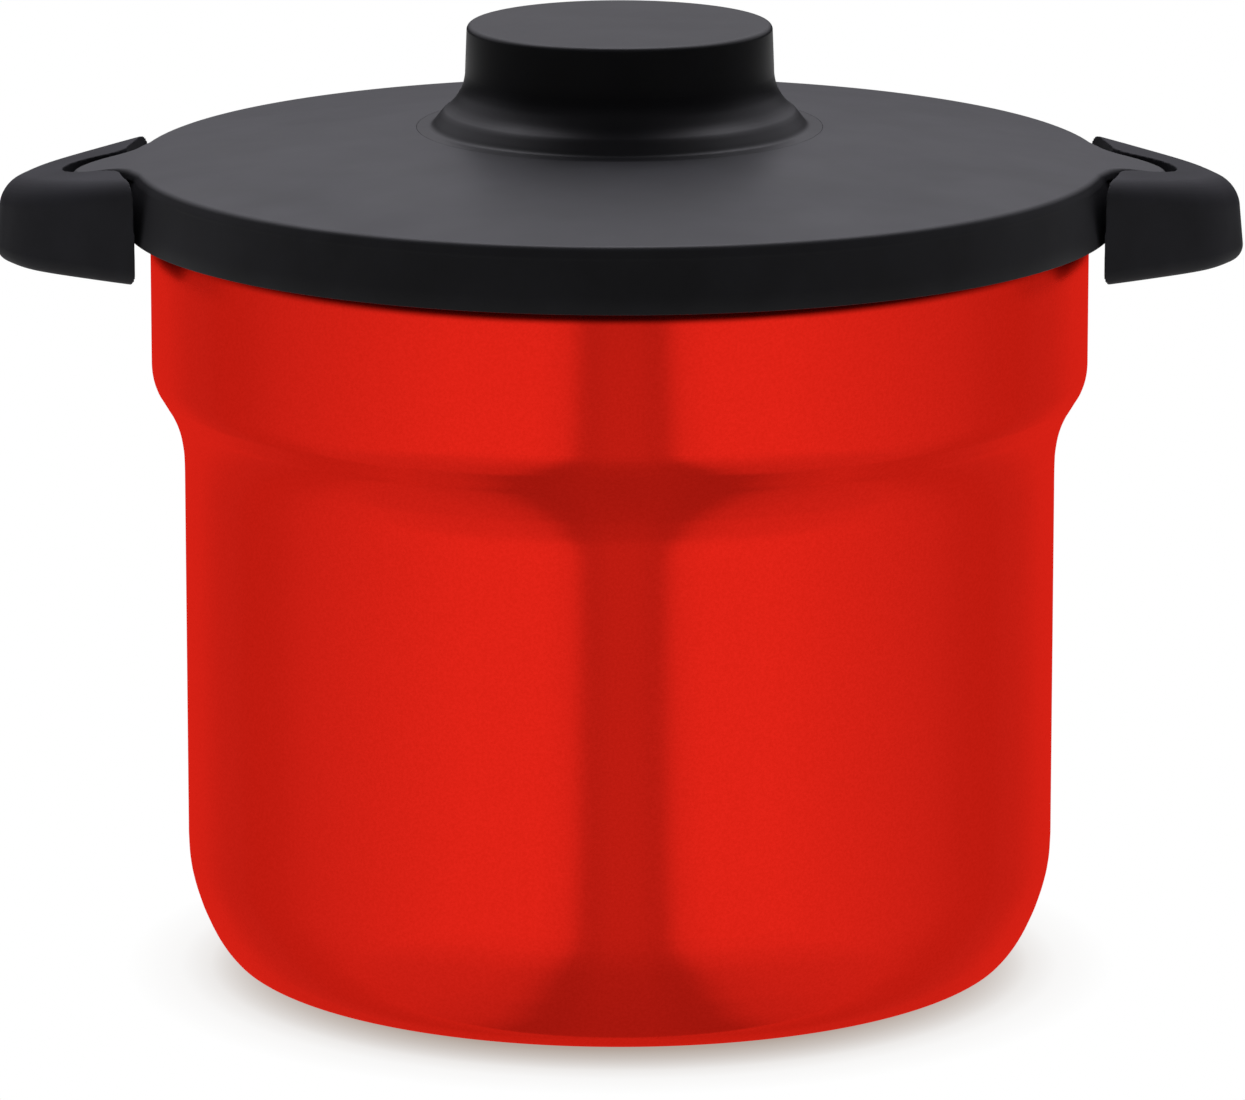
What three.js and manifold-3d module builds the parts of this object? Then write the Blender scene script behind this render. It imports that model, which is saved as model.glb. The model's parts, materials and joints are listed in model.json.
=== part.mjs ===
// Thermal cooker: a double-walled steel vacuum body with a plastic collar and two loop handles,
// a black plastic outer lid with a wide round knob, and inside it a steel pot with a folding bail
// and a glass lid. Millimetres, +Z up. The origin is the centre of the base ring that it stands on.
import * as THREE from "three";
import { mergeVertices } from "three/addons/utils/BufferGeometryUtils.js";
import Module from "manifold-3d";

const wasm = await Module();
wasm.setup();

// Driving dimensions. Radii and heights are tied to the body's, each by a named difference.
const ROUND_SIDES = 32;
const SMALL_SIDES = 8;
const CLEARANCE = 0.3;
const OVERRUN = 2;
const MERGE_DISTANCE = 1e-4;

const BODY = {
  upperRadius: 125.8,
  height: 206,
  stepDepth: 8.6,
  stepFall: 30,
  stepTopDepth: 43,
  cornerInset: 14.2,
  cornerHeight: 33,
  wall: 0.8,
  footWidth: 5,
  footReturn: 4,
  vacuumGap: 5,
  floorHeight: 18,
  floorCorner: 9,
};
const LOWER_RADIUS = BODY.upperRadius - BODY.stepDepth;
const BASE_RADIUS = LOWER_RADIUS - BODY.cornerInset;
const STEP_TOP = BODY.height - BODY.stepTopDepth;
const STEP_BOTTOM = STEP_TOP - BODY.stepFall;

const BOTTOM = { thickness: 0.8, holeRadius: 2.2, tipRadius: 1.9, tipLength: 1.6 };
const SEAL_COVER = { radius: 15, thickness: 1.7, standoff: 0.4 };
const GETTER = { radius: 9, thickness: 3 };
const FOIL = { thickness: 0.3, bottomMargin: 14, topMargin: 4 };

const COLLAR = {
  skirtWall: 2.5,
  rimWidth: 9.2,
  skirtDepth: 5.2,
  topThickness: 2.4,
  lugLength: 4.4,
  lugHalfWidth: 12,
  lugDepth: 6.8,
  lugHeight: 8.4,
};
const COLLAR_BORE = BODY.upperRadius + CLEARANCE;
const COLLAR_OUTER = COLLAR_BORE + COLLAR.skirtWall;
const COLLAR_INNER = COLLAR_OUTER - COLLAR.rimWidth;
const LUG_REACH = COLLAR_OUTER + COLLAR.lugLength;
const LUG_BOTTOM = BODY.height - COLLAR.lugDepth;

const LID = {
  overlap: 6.15,
  overhang: 1.6,
  flare: 2.8,
  bandHeight: 18.25,
  arrisRounding: 1.6,
  bandWall: 2,
  wall: 3,
  seatRadius: 54.6,
  seatDepth: 2,
  crownRise: 8.5,
  crownPower: 1.2,
  ribGap: 5.2,
  ribWidth: 2,
};
const LID_BOTTOM = BODY.height - LID.overlap;
const ARRIS_RADIUS = COLLAR_OUTER + LID.overhang;
const ARRIS_HEIGHT = LID_BOTTOM + LID.bandHeight;
const LID_RADIUS = ARRIS_RADIUS + LID.flare;
const SEAT_EDGE_HEIGHT = ARRIS_HEIGHT + LID.crownRise;
const EAR = {
  length: 16.4,
  rootLength: 6.2,
  tipDrop: 3.7,
  rootDrop: 0.9,
  thickness: 3,
  halfWidth: 17,
  gap: 3,
};
const NOTCH = { halfWidth: 15.5, height: 3 };

const KNOB = {
  height: 27.7,
  topRadius: 39,
  edgeRounding: 1.9,
  waistRadius: 41.3,
  waistHeight: 13.2,
  lipRadius: 47.8,
  lipHeight: 5,
  flangeRim: 1.7,
  wall: 3,
};
const KNOB_TOP = SEAT_EDGE_HEIGHT + KNOB.height;
const KNOB_BOSS = { circle: 30, radius: 4.2, holeRadius: 1.9, holeDepth: 12 };
const KNOB_SCREW = { radius: 1.6, headRadius: 3.4, headHeight: 2.2, length: 12 };

const PLATE = {
  mouthGap: 1.9,
  depth: 10,
  thickness: 2,
  corner: 3,
  flangeGap: 1.7,
  sealRoom: 1.8,
  postCircle: 68,
  postRadius: 4.6,
};
const PLATE_RADIUS = COLLAR_INNER - PLATE.mouthGap;
const PLATE_BOTTOM = BODY.height - PLATE.depth;
const FLANGE_RADIUS = ARRIS_RADIUS - LID.bandWall - PLATE.flangeGap;
const PLATE_SCREW = { radius: 1.6, headRadius: 3.4, headHeight: 1.6, length: 11 };
const LID_SEAL = { inset: 2.2, radius: 0.75, sides: 6 };
const FOAM = { height: 16.7 };

const HANDLE = {
  lidGap: 1.3,
  length: 33,
  armLength: 13.3,
  spread: 46,
  depth: 15.8,
  topDrop: 0.1,
  topSlope: 0.15,
  widestHeight: 5.4,
  draft: 0.04,
  topRounding: 4.4,
  tipRounding: 8,
  bottomRounding: 4.4,
  wall: 5.6,
  armWall: 3.5,
  pocketHeight: 20,
  cavityHeight: 16.8,
  rootHalfWidth: 13,
  rootLength: 6.7,
  rootHeight: 8.2,
  rootThickness: 9.6,
  coverThickness: 2.6,
  coverRecess: 0.6,
  postLength: 16.7,
  postSpread: 13,
  postRadius: 3.6,
};
const HANDLE_INNER = LID_RADIUS + HANDLE.lidGap;
const HANDLE_REACH = HANDLE_INNER + HANDLE.length;
const HANDLE_END = HANDLE_INNER - HANDLE.armLength;
const HANDLE_BOTTOM = BODY.height - HANDLE.depth;
const ROOT_REACH = HANDLE_INNER + HANDLE.rootLength;
const ROOT_SCREW = { radius: 1.6, headRadius: 3.3, headHeight: 2.4, spread: 7, height: 4.2, bite: 5 };
const COVER_SCREW = { radius: 1.4, headRadius: 2.7, headHeight: 1.6, length: 8 };

const POT = {
  sideGap: 2.1,
  wall: 0.8,
  rimDepth: 48,
  rimWidth: 2,
  rimThickness: 1,
  corner: 9,
  baseInset: 16.5,
  baseThickness: 4,
};
const POT_RADIUS = LOWER_RADIUS - BODY.wall - BODY.vacuumGap - BODY.wall - POT.sideGap;
const POT_RIM = BODY.height - POT.rimDepth;
const LUG = {
  thickness: 1.5,
  depth: 16,
  jogDepth: 5.4,
  jogRise: 2.2,
  jogRun: 2.4,
  height: 10,
  halfWidth: 7,
  rivetDepth: 10.4,
  rivetSpread: 3.8,
};
const LUG_FACE = POT_RADIUS + LUG.jogRun;
const RIVET = { radius: 1.3, headRadius: 2.4, headHeight: 0.9, tipRadius: 1.44 };
const BAIL = {
  standoff: 6.3,
  wireRadius: 2,
  pivotHeight: 6,
  turns: 28,
  gripRadius: 3.5,
  gripHalfAngle: 0.34,
  gripTurns: 7,
  sides: 8,
};
const BAIL_RADIUS = POT_RADIUS + BAIL.standoff;
const PIVOT_HEIGHT = POT_RIM + BAIL.pivotHeight;

const BAND = { overhang: 1.7, sheet: 1, topWidth: 5, lipGap: 0.6, lipDepth: 5 };
const BAND_RADIUS = POT_RADIUS + BAND.overhang;
const LIP_RADIUS = POT_RADIUS - POT.wall - BAND.lipGap;
const GLASS = { thickness: 3.6, rise: 8.8, flatWidth: 5, holeRadius: 3.2 };
const GLASS_RADIUS = BAND_RADIUS - BAND.sheet - CLEARANCE;
const POT_KNOB = { topGap: 4, radius: 18, neckRadius: 9.5, holeRadius: 2.8, holeDepth: 12, washer: 1 };
const POT_KNOB_SCREW = { radius: 2.5, headRadius: 5.6, headHeight: 3 };
const VENT = { circle: 60, holeRadius: 4.3, bore: 2.4, flangeRadius: 6.2, flangeThickness: 0.9 };

// Shares, chosen by hand, of the step's height and depth and of the bottom corner's height and inset
const stepHeightShares = [0, 0.2, 0.4, 0.6, 0.75, 0.88, 1];
const stepRadiusShares = [0, 0.027, 0.153, 0.425, 0.74, 0.942, 1];
const cornerHeightShares = [0, 0.02, 0.08, 0.22, 0.42, 0.65, 0.85];
const cornerInsetShares = [1, 0.86, 0.72, 0.485, 0.265, 0.097, 0.02];
// Shares of the ear's reach past its base and of its half width, from the rim to the tip
const earReachShares = [0, 0.28, 0.36, 0.43, 0.53, 0.68, 0.84, 0.94, 0.985, 1];
const earWidthShares = [1.3, 1, 0.78, 0.68, 0.62, 0.54, 0.41, 0.27, 0.13, 0];
// Shares of the handle outline's length along X and half width along Y, from the arm's end to the tip
const handleReachShares = [0, 0.44, 0.79, 0.955, 1];
const handleWidthShares = [1, 0.697, 0.416, 0.164, 0];
// Shares of the run between the knob's waist, lip and flange, and of the fall between them
const waistRunShares = [0.28, 0.62];
const waistFallShares = [0.5, 0.8];
const skirtRunShares = [0.2, 0.45];
const skirtFallShares = [0.12, 0.45];
// Shares of the pot lid knob's radius and height, and of the glass dome's run from edge to hole
const potKnobRadiusShares = [0.8, 1, 1, 0.85];
const potKnobHeightShares = [0.5, 0.7, 0.82, 1];
const domeShares = [0, 0.3, 0.6, 1];
const crownShares = [0, 0.25, 0.5, 0.75, 1];
// Share of a rounded corner's radius that its one middle point is cut back by
const bevelShare = 0.25;

const paint = (color, roughness, metalness = 0) =>
  new THREE.MeshStandardMaterial({ color, roughness, metalness });
const RED_PAINT = paint(0xc81e14, 0.25, 0.3);
const STEEL = paint(0xc4c6c8, 0.3, 1);
const COPPER = paint(0xb87345, 0.35, 1);
const ZINC = paint(0xa8aaac, 0.4, 1);
const BLACK_PLASTIC = paint(0x2b2b2d, 0.45);
const GREY_PLASTIC = paint(0x3a3a3c, 0.6);
const FOAM_PLASTIC = paint(0xe8dfc4, 0.9);
const SILICONE = paint(0xd8d8d4, 0.6);
const GLASS_CLEAR = paint(0xdfe8e6, 0.05);
GLASS_CLEAR.transparent = true;
GLASS_CLEAR.opacity = 0.4;

// A closed geometry with shared vertices merged, no empty triangles and its faces pointing out
function closed(geometry) {
  const bare = geometry.clone();
  bare.deleteAttribute("normal");
  bare.deleteAttribute("uv");
  const merged = mergeVertices(bare, MERGE_DISTANCE);
  const place = merged.getAttribute("position");
  const index = merged.getIndex().array;
  const kept = [];
  for (let i = 0; i < index.length; i += 3) {
    const [a, b, c] = [index[i], index[i + 1], index[i + 2]];
    if (a !== b && b !== c && c !== a) kept.push(a, b, c);
  }
  const [p, q, r] = [new THREE.Vector3(), new THREE.Vector3(), new THREE.Vector3()];
  let volume = 0;
  for (let i = 0; i < kept.length; i += 3) {
    p.fromBufferAttribute(place, kept[i]);
    q.fromBufferAttribute(place, kept[i + 1]);
    r.fromBufferAttribute(place, kept[i + 2]);
    volume += p.dot(q.cross(r));
  }
  merged.setIndex(volume < 0 ? kept.reverse() : kept);
  return merged;
}

function toSolid(geometry) {
  const body = closed(geometry);
  const vertProperties = new Float32Array(body.getAttribute("position").array);
  const triVerts = new Uint32Array(body.getIndex().array);
  return new wasm.Manifold(new wasm.Mesh({ numProp: 3, vertProperties, triVerts }));
}

function toGeometry(solid) {
  const mesh = solid.getMesh();
  const geometry = new THREE.BufferGeometry();
  geometry.setAttribute("position", new THREE.BufferAttribute(new Float32Array(mesh.vertProperties), 3));
  geometry.setIndex(Array.from(mesh.triVerts));
  return geometry;
}

const joined = (...solids) => solids.reduce((sum, solid) => sum.add(solid));
const cutBy = (solid, ...tools) => tools.reduce((rest, tool) => rest.subtract(tool), solid);

// A profile of [radius, height] points revolved round Z
function revolved(profile, sides = ROUND_SIDES) {
  const loop = profile.map(([radius, height]) => new THREE.Vector2(radius, height));
  loop.push(loop[0].clone());
  return new THREE.LatheGeometry(loop, sides).rotateX(Math.PI / 2);
}

const ring = (inner, outer, low, high, sides) =>
  revolved([[inner, low], [outer, low], [outer, high], [inner, high]], sides);

function disc(radius, low, high, sides) {
  return ring(0, radius, low, high, sides);
}

function block(x0, x1, y0, y1, z0, z1) {
  const box = new THREE.BoxGeometry(x1 - x0, y1 - y0, z1 - z0);
  return box.translate((x0 + x1) / 2, (y0 + y1) / 2, (z0 + z1) / 2);
}

// A disc whose axis lies along X
const barAlongX = (radius, low, high, sides) => disc(radius, low, high, sides).rotateY(Math.PI / 2);

// A plan outline of [x, y] points raised from one height to another
function raised(outline, low, high) {
  const shape = new THREE.Shape(outline.map(([x, y]) => new THREE.Vector2(x, y)));
  const geometry = new THREE.ExtrudeGeometry(shape, { depth: high - low, bevelEnabled: false });
  return geometry.translate(0, 0, low);
}

// An open run of [x, y] points moved sideways, to its right
function shifted(run, distance) {
  return run.map(([x, y], i) => {
    const [ax, ay] = run[Math.max(i - 1, 0)];
    const [bx, by] = run[Math.min(i + 1, run.length - 1)];
    const length = Math.hypot(bx - ax, by - ay);
    return [x + ((by - ay) / length) * distance, y - ((bx - ax) / length) * distance];
  });
}

// Equal rings of [x, y, z] points skinned into one closed solid
function lofted(rings) {
  const count = rings[0].length;
  const positions = rings.flat(2);
  const index = [];
  for (let level = 0; level < rings.length - 1; level++) {
    for (let i = 0; i < count; i++) {
      const [a, b] = [level * count + i, level * count + ((i + 1) % count)];
      index.push(a, b, b + count, a, b + count, a + count);
    }
  }
  const last = (rings.length - 1) * count;
  for (let i = 1; i < count - 1; i++) {
    index.push(0, i + 1, i, last, last + i, last + i + 1);
  }
  const geometry = new THREE.BufferGeometry();
  geometry.setAttribute("position", new THREE.Float32BufferAttribute(positions, 3));
  geometry.setIndex(index);
  return geometry;
}

function part(name, geometry, material) {
  const mesh = new THREE.Mesh(closed(geometry), material);
  mesh.name = name;
  return mesh;
}

// The red body's outer outline from the foot to the mouth, moved inwards by an inset
function bodyOutline(inset, top) {
  const corner = cornerHeightShares.map((share, i) => {
    const radius = LOWER_RADIUS - cornerInsetShares[i] * BODY.cornerInset;
    return [radius - inset, inset + share * (BODY.cornerHeight - inset)];
  });
  const side = [[LOWER_RADIUS - inset, BODY.cornerHeight], ...stepOutline(inset)];
  return [...corner, ...side, [BODY.upperRadius - inset, top]];
}

function stepOutline(inset) {
  return stepHeightShares.map((share, i) => [
    LOWER_RADIUS + stepRadiusShares[i] * BODY.stepDepth - inset,
    STEP_BOTTOM + share * BODY.stepFall,
  ]);
}

function outerShell() {
  const { wall, footReturn, height } = BODY;
  const innerEdge = BASE_RADIUS - BODY.footWidth;
  const outside = bodyOutline(0, height);
  const inside = bodyOutline(wall, height).reverse();
  const foot = [
    [innerEdge + wall, wall],
    [innerEdge + wall, footReturn],
    [innerEdge, footReturn],
    [innerEdge, 0],
  ];
  return part("outer_shell", revolved([...outside, ...inside, ...foot]), RED_PAINT);
}

// Sizes of the inner vessel, one vacuum gap inside the outer shell
const VESSEL = {
  outerInset: BODY.wall + BODY.vacuumGap,
  innerInset: BODY.wall + BODY.vacuumGap + BODY.wall,
  flangeBottom: BODY.height + CLEARANCE,
  flangeTop: BODY.height + CLEARANCE + BODY.wall,
  floorTop: BODY.floorHeight + BODY.wall,
};
const COLLAR_TOP = VESSEL.flangeTop + CLEARANCE + COLLAR.topThickness;

// The vessel's side and floor corner, from the mouth down to the floor
function vesselOutline(inset, mouth, floor) {
  const radius = LOWER_RADIUS - inset;
  const corner = BODY.floorCorner;
  return [
    [BODY.upperRadius - inset, mouth],
    ...stepOutline(inset).reverse(),
    [radius, floor + corner],
    [radius - corner * bevelShare, floor + corner * bevelShare],
    [radius - corner, floor],
  ];
}

function innerVessel() {
  const outside = vesselOutline(VESSEL.outerInset, VESSEL.flangeBottom, BODY.floorHeight);
  const inside = vesselOutline(VESSEL.innerInset, VESSEL.flangeTop, VESSEL.floorTop).reverse();
  const flange = [[BODY.upperRadius, VESSEL.flangeTop], [BODY.upperRadius, VESSEL.flangeBottom]];
  const profile = [...outside, [0, BODY.floorHeight], [0, VESSEL.floorTop], ...inside, ...flange];
  return part("inner_vessel", revolved(profile), STEEL);
}

function radiationFoil() {
  const inner = LOWER_RADIUS - VESSEL.outerInset + CLEARANCE;
  const low = BODY.floorHeight + FOIL.bottomMargin;
  const high = STEP_BOTTOM - FOIL.topMargin;
  return part("radiation_foil", ring(inner, inner + FOIL.thickness, low, high), COPPER);
}

const BOTTOM_TOP = BODY.footReturn;
const BOTTOM_LOW = BOTTOM_TOP - BOTTOM.thickness;

function outerBottom() {
  const rim = BASE_RADIUS - BODY.footWidth - CLEARANCE;
  return part("outer_bottom", ring(BOTTOM.holeRadius, rim, BOTTOM_LOW, BOTTOM_TOP), STEEL);
}

function vacuumTip() {
  const low = BOTTOM_LOW - SEAL_COVER.standoff;
  const tip = disc(BOTTOM.tipRadius, low, low + BOTTOM.tipLength, SMALL_SIDES);
  return part("vacuum_tip", tip, COPPER);
}

function sealCover() {
  const top = BOTTOM_LOW - CLEARANCE;
  const low = top - SEAL_COVER.thickness;
  const cap = disc(SEAL_COVER.radius, low, top, ROUND_SIDES / 2);
  const room = disc(BOTTOM.holeRadius, top - SEAL_COVER.standoff, top + OVERRUN, SMALL_SIDES);
  return part("seal_cover", toGeometry(cutBy(toSolid(cap), toSolid(room))), BLACK_PLASTIC);
}

function getter() {
  const top = BODY.floorHeight - CLEARANCE;
  return part("getter", disc(GETTER.radius, top - GETTER.thickness, top, ROUND_SIDES / 2), ZINC);
}

function collarRing() {
  const webBottom = COLLAR_TOP - COLLAR.topThickness;
  const skirtBottom = BODY.height - COLLAR.skirtDepth;
  const profile = [
    [COLLAR_INNER, webBottom],
    [COLLAR_BORE, webBottom],
    [COLLAR_BORE, skirtBottom],
    [COLLAR_OUTER, skirtBottom],
    [COLLAR_OUTER, COLLAR_TOP],
    [COLLAR_INNER, COLLAR_TOP],
  ];
  const lugs = [-1, 1].map((side) => turned(collarLug(webBottom), side));
  const holes = [-1, 1].flatMap((side) => lugHoles().map((hole) => turned(hole, side)));
  const solid = cutBy(joined(toSolid(revolved(profile)), ...lugs), ...holes);
  return part("collar_ring", toGeometry(solid), BLACK_PLASTIC);
}

// The block on the collar that carries a handle's root
function collarLug(webBottom) {
  const { lugHalfWidth, lugHeight } = COLLAR;
  const start = COLLAR_BORE - OVERRUN;
  const lugTop = LUG_BOTTOM + lugHeight;
  const lug = block(start, LUG_REACH, -lugHalfWidth, lugHalfWidth, LUG_BOTTOM, lugTop);
  return cutBy(toSolid(lug), toSolid(disc(COLLAR_BORE, LUG_BOTTOM - OVERRUN, webBottom)));
}

function lugHoles() {
  const start = LUG_REACH - ROOT_SCREW.bite - CLEARANCE;
  const radius = ROOT_SCREW.radius + CLEARANCE;
  return atRootScrews(() => toSolid(barAlongX(radius, start, LUG_REACH + OVERRUN, SMALL_SIDES)));
}

const atRootScrews = (make) => [-1, 1].map((side) =>
  make().translate([0, side * ROOT_SCREW.spread, LUG_BOTTOM + ROOT_SCREW.height]));

const turned = (solid, side) => (side < 0 ? solid.rotate([0, 0, 180]) : solid);

// The ear's plan from the rim on one side round the tip to the rim on the other, grown by a margin
function earPlan(margin) {
  const base = ARRIS_RADIUS - EAR.rootLength;
  const half = earReachShares.map((share, i) => [
    base + share * (EAR.rootLength + EAR.length),
    earWidthShares[i] * EAR.halfWidth,
  ]);
  const mirrored = half.slice(0, -1).map(([x, y]) => [x, -y]);
  return shifted([...mirrored, ...half.reverse()], margin);
}

// The lid's crown from the knob's seat out to a rim, lowered by a drop
function crownOutline(drop, rimRadius) {
  return crownShares.map((share) => {
    const radius = LID.seatRadius + share * (rimRadius - LID.seatRadius);
    return [radius, SEAT_EDGE_HEIGHT - LID.crownRise * share ** LID.crownPower - drop];
  });
}

const LID_SEAT = SEAT_EDGE_HEIGHT - LID.seatDepth;
const FLANGE_HEIGHT = COLLAR_TOP + CLEARANCE + PLATE.sealRoom;

// The lid's roof and band, with the arris between them rounded
function lidOutline() {
  const { arrisRounding, bandWall, wall, seatRadius } = LID;
  const bevel = arrisRounding * bevelShare;
  const bandSlope = LID.flare / LID.bandHeight;
  const roof = crownOutline(wall, ARRIS_RADIUS - bandWall - wall / 2);
  return [
    [0, LID_SEAT],
    [seatRadius, LID_SEAT],
    ...crownOutline(0, ARRIS_RADIUS - arrisRounding),
    [ARRIS_RADIUS - bevel, ARRIS_HEIGHT - bevel],
    [ARRIS_RADIUS + bandSlope * arrisRounding, ARRIS_HEIGHT - arrisRounding],
    [LID_RADIUS, LID_BOTTOM + bevel],
    [LID_RADIUS - bevel, LID_BOTTOM],
    [LID_RADIUS - bandWall, LID_BOTTOM],
    [ARRIS_RADIUS - bandWall, ARRIS_HEIGHT - wall - arrisRounding],
    ...roof.slice(1).reverse(),
    [seatRadius - wall, LID_SEAT - wall],
    [0, LID_SEAT - wall],
  ];
}

function lidTop() {
  const { wall } = LID;
  const ribRadius = FLANGE_RADIUS - LID.ribGap + LID.ribWidth;
  const ribBottom = FLANGE_HEIGHT + PLATE.thickness + CLEARANCE;
  const rib = toSolid(ring(ribRadius - LID.ribWidth, ribRadius, ribBottom, ARRIS_HEIGHT - wall / 2));
  const ears = [-1, 1].map((side) => turned(lidEar(), side));
  const notches = [-1, 1].map((side) => turned(lidNotch(), side));
  const postBottom = PLATE_BOTTOM + PLATE.thickness + CLEARANCE;
  const posts = rodsOnCircle(PLATE.postCircle, PLATE.postRadius, postBottom, LID_SEAT - wall / 2);
  const pilotTop = postBottom + PLATE_SCREW.length + CLEARANCE;
  const pilotRadius = PLATE_SCREW.radius + CLEARANCE;
  const pilots = rodsOnCircle(PLATE.postCircle, pilotRadius, postBottom - OVERRUN, pilotTop);
  const holeRadius = KNOB_SCREW.radius + CLEARANCE;
  const holes = rodsOnCircle(KNOB_BOSS.circle, holeRadius, LID_SEAT - wall - OVERRUN, LID_SEAT + OVERRUN);
  const shell = joined(toSolid(revolved(lidOutline())), rib, ...posts, ...ears);
  return part("lid_top", toGeometry(cutBy(shell, ...notches, ...pilots, ...holes)), BLACK_PLASTIC);
}

// The room in the lid's band that the collar's lug passes through
function lidNotch() {
  const { halfWidth, height } = NOTCH;
  const start = COLLAR_OUTER - OVERRUN;
  const top = BODY.height + height;
  return toSolid(block(start, LID_RADIUS + OVERRUN, -halfWidth, halfWidth, LID_BOTTOM - OVERRUN, top));
}

// Three copies of a solid spaced evenly on a circle round Z
function onCircle(radius, make) {
  return [0, 1, 2].map((i) => {
    const angle = Math.PI / 2 + (i * 2 * Math.PI) / 3;
    return make().translate([radius * Math.cos(angle), radius * Math.sin(angle), 0]);
  });
}

const rodsOnCircle = (circle, radius, low, high) =>
  onCircle(circle, () => toSolid(disc(radius, low, high, SMALL_SIDES)));

function lidEar() {
  const { thickness } = EAR;
  const start = ARRIS_RADIUS - EAR.rootLength;
  const end = ARRIS_RADIUS + EAR.length + OVERRUN;
  const rootTop = ARRIS_HEIGHT - EAR.rootDrop;
  const tipTop = ARRIS_HEIGHT - EAR.tipDrop;
  const sheet = revolved([
    [start, rootTop - thickness],
    [end, tipTop - thickness],
    [end, tipTop],
    [start, rootTop],
  ]);
  const plan = raised(earPlan(0), tipTop - thickness - OVERRUN, rootTop + OVERRUN);
  return toSolid(sheet).intersect(toSolid(plan));
}

// Points between two others, at shares of the run and of the fall between them
const between = ([r0, z0], [r1, z1], runShares, fallShares) =>
  runShares.map((share, i) => [r0 + share * (r1 - r0), z0 + fallShares[i] * (z1 - z0)]);

function lidKnob() {
  const { topRadius, edgeRounding, wall } = KNOB;
  const bottom = LID_SEAT + CLEARANCE;
  const edgeCut = edgeRounding * Math.SQRT1_2;
  const waist = [KNOB.waistRadius, SEAT_EDGE_HEIGHT + KNOB.waistHeight];
  const lip = [KNOB.lipRadius, SEAT_EDGE_HEIGHT + KNOB.lipHeight];
  const flange = [LID.seatRadius - CLEARANCE, bottom + KNOB.flangeRim];
  const profile = [
    [0, KNOB_TOP],
    [topRadius, KNOB_TOP],
    [topRadius + edgeCut, KNOB_TOP - edgeRounding + edgeCut],
    [topRadius + edgeRounding, KNOB_TOP - edgeRounding],
    waist,
    ...between(waist, lip, waistRunShares, waistFallShares),
    lip,
    ...between(lip, flange, skirtRunShares, skirtFallShares),
    flange,
    [flange[0], bottom],
    [waist[0] - wall, bottom],
    [waist[0] - wall, KNOB_TOP - wall],
    [0, KNOB_TOP - wall],
  ];
  const bosses = rodsOnCircle(KNOB_BOSS.circle, KNOB_BOSS.radius, bottom, KNOB_TOP - wall / 2);
  const holeTop = bottom + KNOB_BOSS.holeDepth;
  const holes = rodsOnCircle(KNOB_BOSS.circle, KNOB_BOSS.holeRadius, bottom - OVERRUN, holeTop);
  const solid = cutBy(joined(toSolid(revolved(profile)), ...bosses), ...holes);
  return part("lid_knob", toGeometry(solid), BLACK_PLASTIC);
}

// A screw pointing up, with its head's seat at a height
function screwUp(sizes, seatZ) {
  const { radius, headRadius, headHeight, length } = sizes;
  return revolved([
    [0, seatZ - headHeight],
    [headRadius, seatZ - headHeight],
    [headRadius, seatZ],
    [radius, seatZ],
    [radius, seatZ + length],
    [0, seatZ + length],
  ], SMALL_SIDES);
}

function screwsOnCircle(name, sizes, circle, seatZ) {
  return onCircle(circle, () => toSolid(screwUp(sizes, seatZ))).map((solid, i) =>
    part(`${name}_${i + 1}`, toGeometry(solid), ZINC));
}

function lidInnerPlate() {
  const { thickness, corner } = PLATE;
  const bevel = corner * bevelShare;
  const profile = [
    [0, PLATE_BOTTOM],
    [PLATE_RADIUS - corner, PLATE_BOTTOM],
    [PLATE_RADIUS - bevel, PLATE_BOTTOM + bevel],
    [PLATE_RADIUS, PLATE_BOTTOM + corner],
    [PLATE_RADIUS, FLANGE_HEIGHT],
    [FLANGE_RADIUS, FLANGE_HEIGHT],
    [FLANGE_RADIUS, FLANGE_HEIGHT + thickness],
    [PLATE_RADIUS - thickness, FLANGE_HEIGHT + thickness],
    [PLATE_RADIUS - thickness, PLATE_BOTTOM + corner],
    [PLATE_RADIUS - corner, PLATE_BOTTOM + thickness],
    [0, PLATE_BOTTOM + thickness],
  ];
  const [low, high] = [PLATE_BOTTOM - OVERRUN, PLATE_BOTTOM + thickness + OVERRUN];
  const holes = rodsOnCircle(PLATE.postCircle, PLATE_SCREW.radius + CLEARANCE, low, high);
  const solid = cutBy(toSolid(revolved(profile)), ...holes);
  return part("lid_inner_plate", toGeometry(solid), GREY_PLASTIC);
}

function lidInsulation() {
  const { thickness, corner } = PLATE;
  const low = PLATE_BOTTOM + thickness + CLEARANCE;
  const top = low + FOAM.height;
  const side = PLATE_RADIUS - thickness - CLEARANCE;
  const filling = toSolid(revolved([
    [0, low],
    [side - corner, low],
    [side, low + corner],
    [side, top],
    [0, top],
  ]));
  const radius = PLATE.postRadius + CLEARANCE;
  const holes = rodsOnCircle(PLATE.postCircle, radius, low - OVERRUN, top + OVERRUN);
  return part("lid_insulation", toGeometry(cutBy(filling, ...holes)), FOAM_PLASTIC);
}

function lidSeal() {
  const { inset, radius, sides } = LID_SEAL;
  const circle = COLLAR_INNER + inset;
  const middle = COLLAR_TOP + CLEARANCE + radius;
  const profile = Array.from({ length: sides }, (_, i) => {
    const angle = ((i + 0.5) * 2 * Math.PI) / sides;
    return [circle + radius * Math.cos(angle), middle + radius * Math.sin(angle)];
  });
  return part("lid_seal", revolved(profile), SILICONE);
}

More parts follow.
